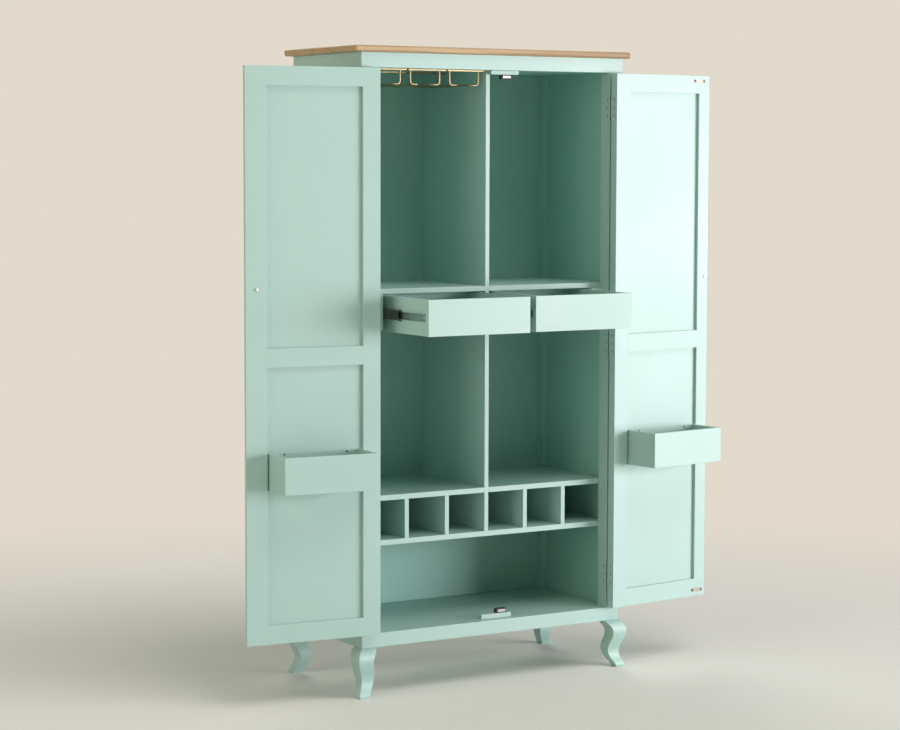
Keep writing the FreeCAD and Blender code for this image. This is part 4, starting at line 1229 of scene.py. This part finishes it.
@dataclass
class Door:
    """A door as it stands open: its frame, panels, tray, knob, hinge leaves and, on the right, strikes.

    Places on a door are given as u along it from the hinge pin, v out of its inner face, and the height.

    Attributes:
        side: the door's hand.
        frame_arris: the rounding of its stiles and rails, whose joints are painted over.
        tray_board: the thickness of the tray's back.
        tray_screw_shares: where the tray's screws sit along it.
        tray_screw_drop: how far they sit below its rim.
        strike_screw_reach: how far a strike's screws sit from its middle.
    """

    side: Side
    frame_arris: float = 0.0003
    tray_board: float = 0.009
    tray_screw_shares: tuple[float, ...] = (0.16, 0.84)
    tray_screw_drop: float = 0.0042
    strike_screw_reach: float = 0.018

    def __post_init__(self) -> None:
        """Work out the door's own axes at rest: its closed axes turned by the hinge's whole range."""
        joint = JOINTS[f"{self.side.word}_door_swing"]
        turn = self.side.value * math.radians(joint["range_deg"][1])
        self.pin = np.array([*joint["pos_m"][:2], 0.0])
        self.along = -self.side.value * np.array([math.cos(turn), math.sin(turn), 0.0])
        self.inward = np.array([-math.sin(turn), math.cos(turn), 0.0])
        self.axes = np.stack([self.along, self.inward, np.array([0.0, 0.0, 1.0])])

    def at(self, places: np.ndarray) -> np.ndarray:
        """Places in the frame, from their u, v and height: the pin's place plus each along its axis."""
        return self.pin + places @ self.axes

    def span(self, points: np.ndarray) -> Box:
        """The box around points of the frame in the door's own axes: u, v and height."""
        return Box.around((points - self.pin) @ self.axes.T)

    def node(self, part: str) -> str:
        """The full name of one of the door's nodes."""
        return f"{self.side.word}_door_{part}"

    def build(self) -> None:
        """Dress the door's boards and fittings, and drive its screws."""
        dress(self.node("stiles"), FLUSH[Grain.ALONG_Z], self.frame_arris)
        dress(self.node("rails"), FLUSH[Grain.ALONG_X], self.frame_arris)
        dress(self.node("panels"), MINT[Grain.ALONG_Z])
        dress(self.node("tray"), MINT[Grain.ALONG_X], BOARD_ARRIS)
        dress(self.node("knob"), BRASS)
        dress(self.node("hinge_leaves"), HINGE)
        dress(f"{self.side.word}_knob_bolt", BOLT)
        self.add("hinge_screws", self.leaf_screws(), PAINTED_SCREW)
        self.add("tray_screws", self.tray_screws(), SCREW)
        self.add("knob_bolt_recess", self.bolt_recess(), BOLT)
        if self.side is Side.RIGHT:
            dress(self.node("strikes"), STRIKE)
            self.add("strike_screws", self.strike_screws(), SCREW)

    def add(self, part: str, surface: Surface, finish: Finish) -> None:
        """Make a steel piece that rides on this door."""
        make_piece(self.node(part), surface, finish, f"{self.side.word}_door")

    def leaf_screws(self) -> Surface:
        """Three screws in each leaf, driven into the door's hinge edge.

        Returns:
            The heads, which face away from the door's free edge.
        """
        leaves = self.node("hinge_leaves")
        corners = corners_of(leaves)
        deep = self.span(corners).high[1]
        far_edge = corners[(corners - self.pin) @ self.inward > deep - LEAF_WIDTH / 2.0]
        face = self.span(far_edge).low[0]
        levels = {(leaf.low[2], leaf.high[2]): leaf for leaf in solid_boxes(leaves)}
        heads = []
        for level in sorted(levels):
            places = leaf_screw_places(levels[level], face, deep - LEAF_WIDTH)
            heads.append(HINGE_SCREW.driven(self.at(places), -self.along))
        return Surface.joined(heads)

    def tray_screws(self) -> Surface:
        """Two screws through the back of the tray, just under its rim.

        Returns:
            The heads, which face into the tray.
        """
        tray = self.span(corners_of(self.node("tray")))
        u = tray.shares(0, self.tray_screw_shares)
        places = spots(u, tray.low[1] + self.tray_board, tray.high[2] - self.tray_screw_drop)
        return TRAY_SCREW.driven(self.at(places), self.inward)

    def bolt_recess(self) -> Surface:
        """The driver end on the head of the knob's bolt.

        Returns:
            The domed end, which lies on the bolt's head.
        """
        bolt = self.span(corners_of(f"{self.side.word}_knob_bolt"))
        place = bolt.middle
        place[1] = bolt.high[1]
        return BOLT_END.driven(self.at(place[None]), self.inward)

    def strike_screws(self) -> Surface:
        """Two screws in each strike.

        Returns:
            The heads, which face out of the door's inner face.
        """
        strikes = self.node("strikes")
        face = self.span(corners_of(strikes)).high[1]
        reach = np.array([-self.strike_screw_reach, self.strike_screw_reach])
        places = []
        for box in solid_boxes(strikes):
            corners = np.stack(np.meshgrid(*zip(box.low, box.high)), axis=-1).reshape(-1, 3)
            u, _, height = self.span(corners).middle
            places.append(spots(u + reach, face, height))
        return STRIKE_SCREW.driven(self.at(np.concatenate(places)), self.inward)


@dataclass
class Web(Box):
    """The box of a slide's channel, with the flat wall that its screws go through.

    Attributes:
        way: the sign of X that the wall's open face looks along.
    """

    way: float

    @classmethod
    def all_of(cls, node: str, way: float) -> list["Web"]:
        """The walls of a node's channels.

        Args:
            node: members of the drawers' slides.
            way: 1 where the walls look away from their drawer, -1 where they look at it.

        Returns:
            A wall for each channel.
        """
        webs = []
        for channel in solid_boxes(node):
            x = channel.middle[0]
            drawer = Box.of((Side.LEFT if x < 0 else Side.RIGHT).word + "_drawer_box")
            webs.append(cls(channel.low, channel.high, way * np.sign(x - drawer.middle[0])))
        return webs

    @property
    def face(self) -> float:
        """Where the wall's open face lies along X: its thickness in from the channel's back."""
        return (self.low[0] if self.way > 0 else self.high[0]) + self.way * SLIDE_GAUGE

    def screws(self, kind: ScrewHead, shares: Sequence[float]) -> Surface:
        """Screws along the middle of the wall, at shares of its length."""
        places = spots(self.face, self.shares(1, shares), self.middle[2])
        return kind.driven(places, (self.way, 0, 0))


@dataclass
class Drawer:
    """A drawer and its slides, with their ball cages, balls and bumpers.

    Attributes:
        side: the drawer's hand.
        screw_shares: where a member's screws sit along it.
        ball_pitch: the step from ball to ball.
        ball_sides: points around a ball.
        cage_share: how thick a cage's strip is, as a share of the race that the balls fill.
        race_clearance: how far the strips of the frame stay clear of the members.
        bumper_reach: bumpers are the solids shorter than this.
        bead_half: half the thickness and half the width of the bead pressed along a drawer member's web.
        bead_share: the bead's length as a share of the member's.
    """

    side: Side
    screw_shares: tuple[float, ...] = (0.08, 0.45, 0.90)
    ball_pitch: float = 0.009
    ball_sides: int = 8
    cage_share: float = 0.35
    race_clearance: float = 0.0003
    bumper_reach: float = 0.02
    bead_half: Pair = (0.0009, 0.0042)
    bead_share: float = 0.94

    def build(self) -> None:
        """Dress the drawer's boards and slides, and make what the slides hold."""
        word = self.side.word
        dress(f"{word}_drawer_front", MINT[Grain.ALONG_X], BOARD_ARRIS)
        dress(f"{word}_drawer_box", MINT[Grain.ALONG_Y], BOARD_ARRIS)
        dress(f"{word}_drawer_bottom", MINT[Grain.ALONG_Y])
        dress(f"{word}_slide_inner_members", ZINC)
        dress(f"{word}_slide_middle_members", OILED)
        webs = Web.all_of(f"{word}_slide_inner_members", 1.0)
        beads = Surface.joined([self.bead(web) for web in webs])
        screws = Surface.joined([web.screws(SLIDE_SCREW, self.screw_shares) for web in webs])
        cages, balls = self.bearings()
        drawer, middle, plain_cages = f"{word}_drawer", f"{word}_slide_middle", f"{word}_slide_ball_cages"
        make_piece(f"{word}_slide_beads", beads, ZINC, drawer)
        make_piece(f"{word}_slide_screws", screws, SCREW, drawer)
        make_piece(f"{word}_slide_cages", cages, BLACK, middle, [plain_cages])
        make_piece(f"{word}_slide_balls", balls, BALL, middle)

    def bead(self, web: Web) -> Surface:
        """The bead pressed along the web of an inner member, half sunk in it, as a long rounded bar.

        Args:
            web: the member's wall.

        Returns:
            The bar.
        """
        middle = web.middle
        middle[0] = web.face
        half = np.array([self.bead_half[0], self.bead_share * web.half[1], self.bead_half[1]])
        return rounded_block(middle, half, Fullness.BAR)

    def bearings(self) -> tuple[Surface, Surface]:
        """The cages with their bumpers, and the balls that they carry.

        A cage is a thin strip in the middle of its race, and its balls fill the race, one at each pitch.

        Returns:
            The cages and bumpers as one surface, and the balls as another.
        """
        strips, balls = [], []
        for cage in solid_boxes(f"{self.side.word}_slide_ball_cages"):
            middle, half, length = cage.middle, cage.half, cage.high[1] - cage.low[1]
            if length < self.bumper_reach:
                strips.append(rounded_block(middle, half, Fullness.PAD))
                continue
            race = np.full(3, half[2] + self.race_clearance)
            y = cage.low[1] + self.ball_pitch * (0.5 + np.arange(int(length / self.ball_pitch)))
            ball = rounded_block(np.zeros(3), race, Fullness.BALL, self.ball_sides)
            balls.append(ball.repeated(facing(spots(middle[0], y, middle[2]), (0, 0, 1))))
            strips.append(rounded_block(middle, half * np.array([1.0, 1.0, self.cage_share]), Fullness.BAR))
        return Surface.joined(strips), Surface.joined(balls)


@dataclass
class SlideRails:
    """The slides' outer members, which stay on the partition and the packers.

    Attributes:
        node: the members' node.
        screw_shares: where a member's screws sit along it.
    """

    node: str = "slide_outer_members"
    screw_shares: tuple[float, ...] = (0.10, 0.40, 0.70)

    def build(self) -> None:
        """Dress the members and drive their screws."""
        dress(self.node, OILED)
        heads = [web.screws(RAIL_SCREW, self.screw_shares) for web in Web.all_of(self.node, -1.0)]
        make_piece("slide_rail_screws", Surface.joined(heads), SCREW, "carcass")


@dataclass
class StemwareRack:
    """The brass wires that hold glasses by the foot, and the straps that carry them.

    Attributes:
        arris: the rounding of the straps.
        screw_inset: how far a strap's screws sit from its ends.
    """

    arris: float = 0.0005
    screw_inset: float = 0.006

    def build(self) -> None:
        """Dress the wires and straps, and drive two screws into each strap."""
        dress("glass_rack_wires", BRASS)
        dress("glass_rack_straps", BRASS, self.arris)
        places = [spots(strap.ends(self.screw_inset), strap.middle[1], strap.low[2])
                  for strap in solid_boxes("glass_rack_straps")]
        heads = STRAP_SCREW.driven(np.concatenate(places), (0, 0, -1))
        make_piece("glass_rack_screws", heads, BRASS, "carcass")


@dataclass
class Catches:
    """The magnetic catches: a black case with two bright poles, held by a screw at each end.

    Attributes:
        case_arris: the rounding of the cases.
        pole_arris: the rounding of the pole plates.
        screw_inset: how far the screws sit from the case's ends.
        gap_half: half the depth and half the height of the dark strip between the poles.
    """

    case_arris: float = 0.0006
    pole_arris: float = 0.0004
    screw_inset: float = 0.0035
    gap_half: Pair = (0.0002, 0.0008)

    def build(self) -> None:
        """Dress the cases and plates, and add their screws and the gaps between the poles."""
        dress("catch_cases", BLACK, self.case_arris)
        dress("catch_magnets", POLE, self.pole_arris)
        heads, gaps = [], []
        for case in solid_boxes("catch_cases"):
            hangs = case.low[2] > CAD_BOX[1][2] / 2.0
            level = case.low[2] if hangs else case.high[2]
            places = spots(case.ends(self.screw_inset), case.middle[1], level)
            heads.append(CATCH_SCREW.driven(places, (0, 0, -1 if hangs else 1)))
        for plate in solid_boxes("catch_magnets"):
            middle = plate.middle
            middle[1] = plate.low[1]
            gaps.append(rounded_block(middle, np.array([plate.half[0], *self.gap_half]), Fullness.BAR))
        make_piece("catch_screws", Surface.joined(heads), SCREW, "carcass")
        make_piece("catch_pole_gaps", Surface.joined(gaps), BLACK, "carcass")


# Studio

@dataclass(frozen=True)
class SoftBox:
    """A soft lamp with a level lower edge that faces the middle of the object.

    Attributes:
        name: the lamp's name.
        bearing: where it hangs, from the front towards the right, in degrees.
        height: its angle above the floor, in degrees.
        distance: its distance from the middle of the object.
        size: the width and height of its face.
        power: its power in watts.
        colour: the colour of its light.
    """

    name: str
    bearing: float
    height: float
    distance: float
    size: Pair
    power: float
    colour: Triple

    def hang(self) -> None:
        """Put the lamp into the scene.

        With b the bearing and h the height, it hangs towards (sin b cos h, -cos b cos h, sin h) and
        shines the other way. Its width runs along (cos b, sin b, 0).
        """
        b, h = math.radians(self.bearing), math.radians(self.height)
        toward = np.array([math.sin(b) * math.cos(h), -math.cos(b) * math.cos(h), math.sin(h)])
        level = np.array([math.cos(b), math.sin(b), 0.0])
        lamp = bpy.data.lights.new(self.name, "AREA")
        lamp.shape = "RECTANGLE"
        lamp.size, lamp.size_y = self.size
        lamp.energy = self.power
        lamp.color = self.colour
        axes = np.stack([level, np.cross(toward, level), toward], axis=-1)
        put(self.name, lamp, axes, np.mean(CAD_BOX, axis=0) + self.distance * toward)


@dataclass
class Studio:
    """The floor, the light and the camera.

    Attributes:
        backdrop: the colour that the camera sees behind the object.
        floor: the floor's own colour.
        floor_reach: half the floor's width.
        clear_radius: the floor shows its own shading up to here, and fades to the backdrop after.
        lamps: the main lamp at the right, a weak one at the left, one overhead and one behind.
        ambient: the strength of the light from all round.
        ambient_colour: its colour.
        eye: the camera's place.
        yaw: how far it is turned to the right of straight ahead, in degrees.
        pitch: how far it looks down, in degrees.
        roll: how far it leans, in degrees.
        lens: its focal length, in millimetres.
        sensor: the width of its sensor, in millimetres.
    """

    backdrop: Triple = (0.76, 0.70, 0.60)
    floor: Triple = (0.785, 0.80, 0.75)
    floor_reach: float = 30.0
    clear_radius: Pair = (1.3, 3.6)
    lamps: tuple[SoftBox, ...] = (
        SoftBox("key", 46.0, 2.3, 7.0, (4.8, 2.35), 482.0, (1.0, 0.94, 0.985)),
        SoftBox("fill", -78.0, 10.0, 5.0, (3.6, 2.8), 92.0, (1.0, 0.90, 0.75)),
        SoftBox("top", 10.0, 62.0, 16.0, (10.5, 9.0), 1150.0, (1.0, 0.95, 0.91)),
        SoftBox("back", 156.0, 24.0, 7.0, (4.0, 3.2), 170.0, (1.0, 0.97, 0.93)),
    )
    ambient: float = 0.10
    ambient_colour: Triple = (1.0, 0.98, 0.95)
    eye: Triple = (-3.66775, -5.93678, 1.49802)
    yaw: float = 31.11
    pitch: float = 4.88
    roll: float = 0.14
    lens: float = 97.565
    sensor: float = 36.0

    def build(self) -> None:
        """Lay the floor, hang the lamps and set up the camera."""
        self.lay_floor()
        self.light_room()
        for lamp in self.lamps:
            lamp.hang()
        self.set_camera()

    def lay_floor(self) -> None:
        """A flat square at the object's foot, which fades into the backdrop far from it."""
        corners = self.floor_reach * np.array([(-1, -1, 0), (1, -1, 0), (1, 1, 0), (-1, 1, 0)])
        mesh = bpy.data.meshes.new("studio_floor")
        mesh.from_pydata(corners.tolist(), [], [(0, 1, 2, 3)])
        nodes = Nodes(bpy.data.materials.new("pale_floor"))
        distance = nodes.measure("LENGTH", nodes.place())
        fade = nodes.spread(distance, 0.0, 1.0, self.clear_radius, interpolation_type="SMOOTHSTEP")
        matt = nodes.add("BsdfDiffuse", {"Color": self.floor}).outputs["BSDF"]
        glow = nodes.add("Emission", {"Color": self.backdrop, "Strength": 1.0}).outputs["Emission"]
        shown = nodes.math("MULTIPLY", nodes.seen(), fade)
        both = nodes.add("MixShader", {"Fac": shown, 1: matt, 2: glow})
        mesh.materials.append(nodes.close(both.outputs["Shader"]))
        put("studio_floor", mesh)

    def light_room(self) -> None:
        """Even light from all round; the camera, gloss and glass see the backdrop's colour instead."""
        nodes = Nodes(bpy.data.worlds.new("studio"))
        room = nodes.add("Background", {"Color": self.ambient_colour, "Strength": self.ambient}).outputs
        shown = nodes.add("Background", {"Color": self.backdrop, "Strength": 1.0}).outputs
        sides = {"Fac": nodes.seen(), 1: room["Background"], 2: shown["Background"]}
        both = nodes.add("MixShader", sides)
        bpy.context.scene.world = nodes.close(both.outputs["Shader"])

    def set_camera(self) -> None:
        """A camera at the photographed angle.

        With d the way it looks, r level and square to it, and u = r x d, a roll turns r and u about d.
        """
        yaw, pitch, roll = (math.radians(angle) for angle in (self.yaw, self.pitch, self.roll))
        look = np.array([math.sin(yaw) * math.cos(pitch), math.cos(yaw) * math.cos(pitch),
                         -math.sin(pitch)])
        right = np.array([math.cos(yaw), -math.sin(yaw), 0.0])
        up = np.cross(right, look)
        leaning = [math.cos(roll) * right + math.sin(roll) * up,
                   math.cos(roll) * up - math.sin(roll) * right]
        camera = bpy.data.cameras.new("camera")
        camera.sensor_width = self.sensor
        camera.lens = self.lens
        bpy.context.scene.camera = put("camera", camera, np.stack([*leaning, -look], axis=-1), self.eye)


def main() -> None:
    """Build the studio, and dress every sub-assembly in order."""
    logging.basicConfig(level=logging.INFO, format="%(message)s")
    bpy.context.scene.view_settings.view_transform = "Standard"
    Studio().build()
    Carcass().build()
    Legs().build()
    LegBolts().build()
    Hinges().build()
    for side in Side:
        Door(side).build()
        Drawer(side).build()
    SlideRails().build()
    StemwareRack().build()
    Catches().build()


if __name__ == "__main__":
    main()
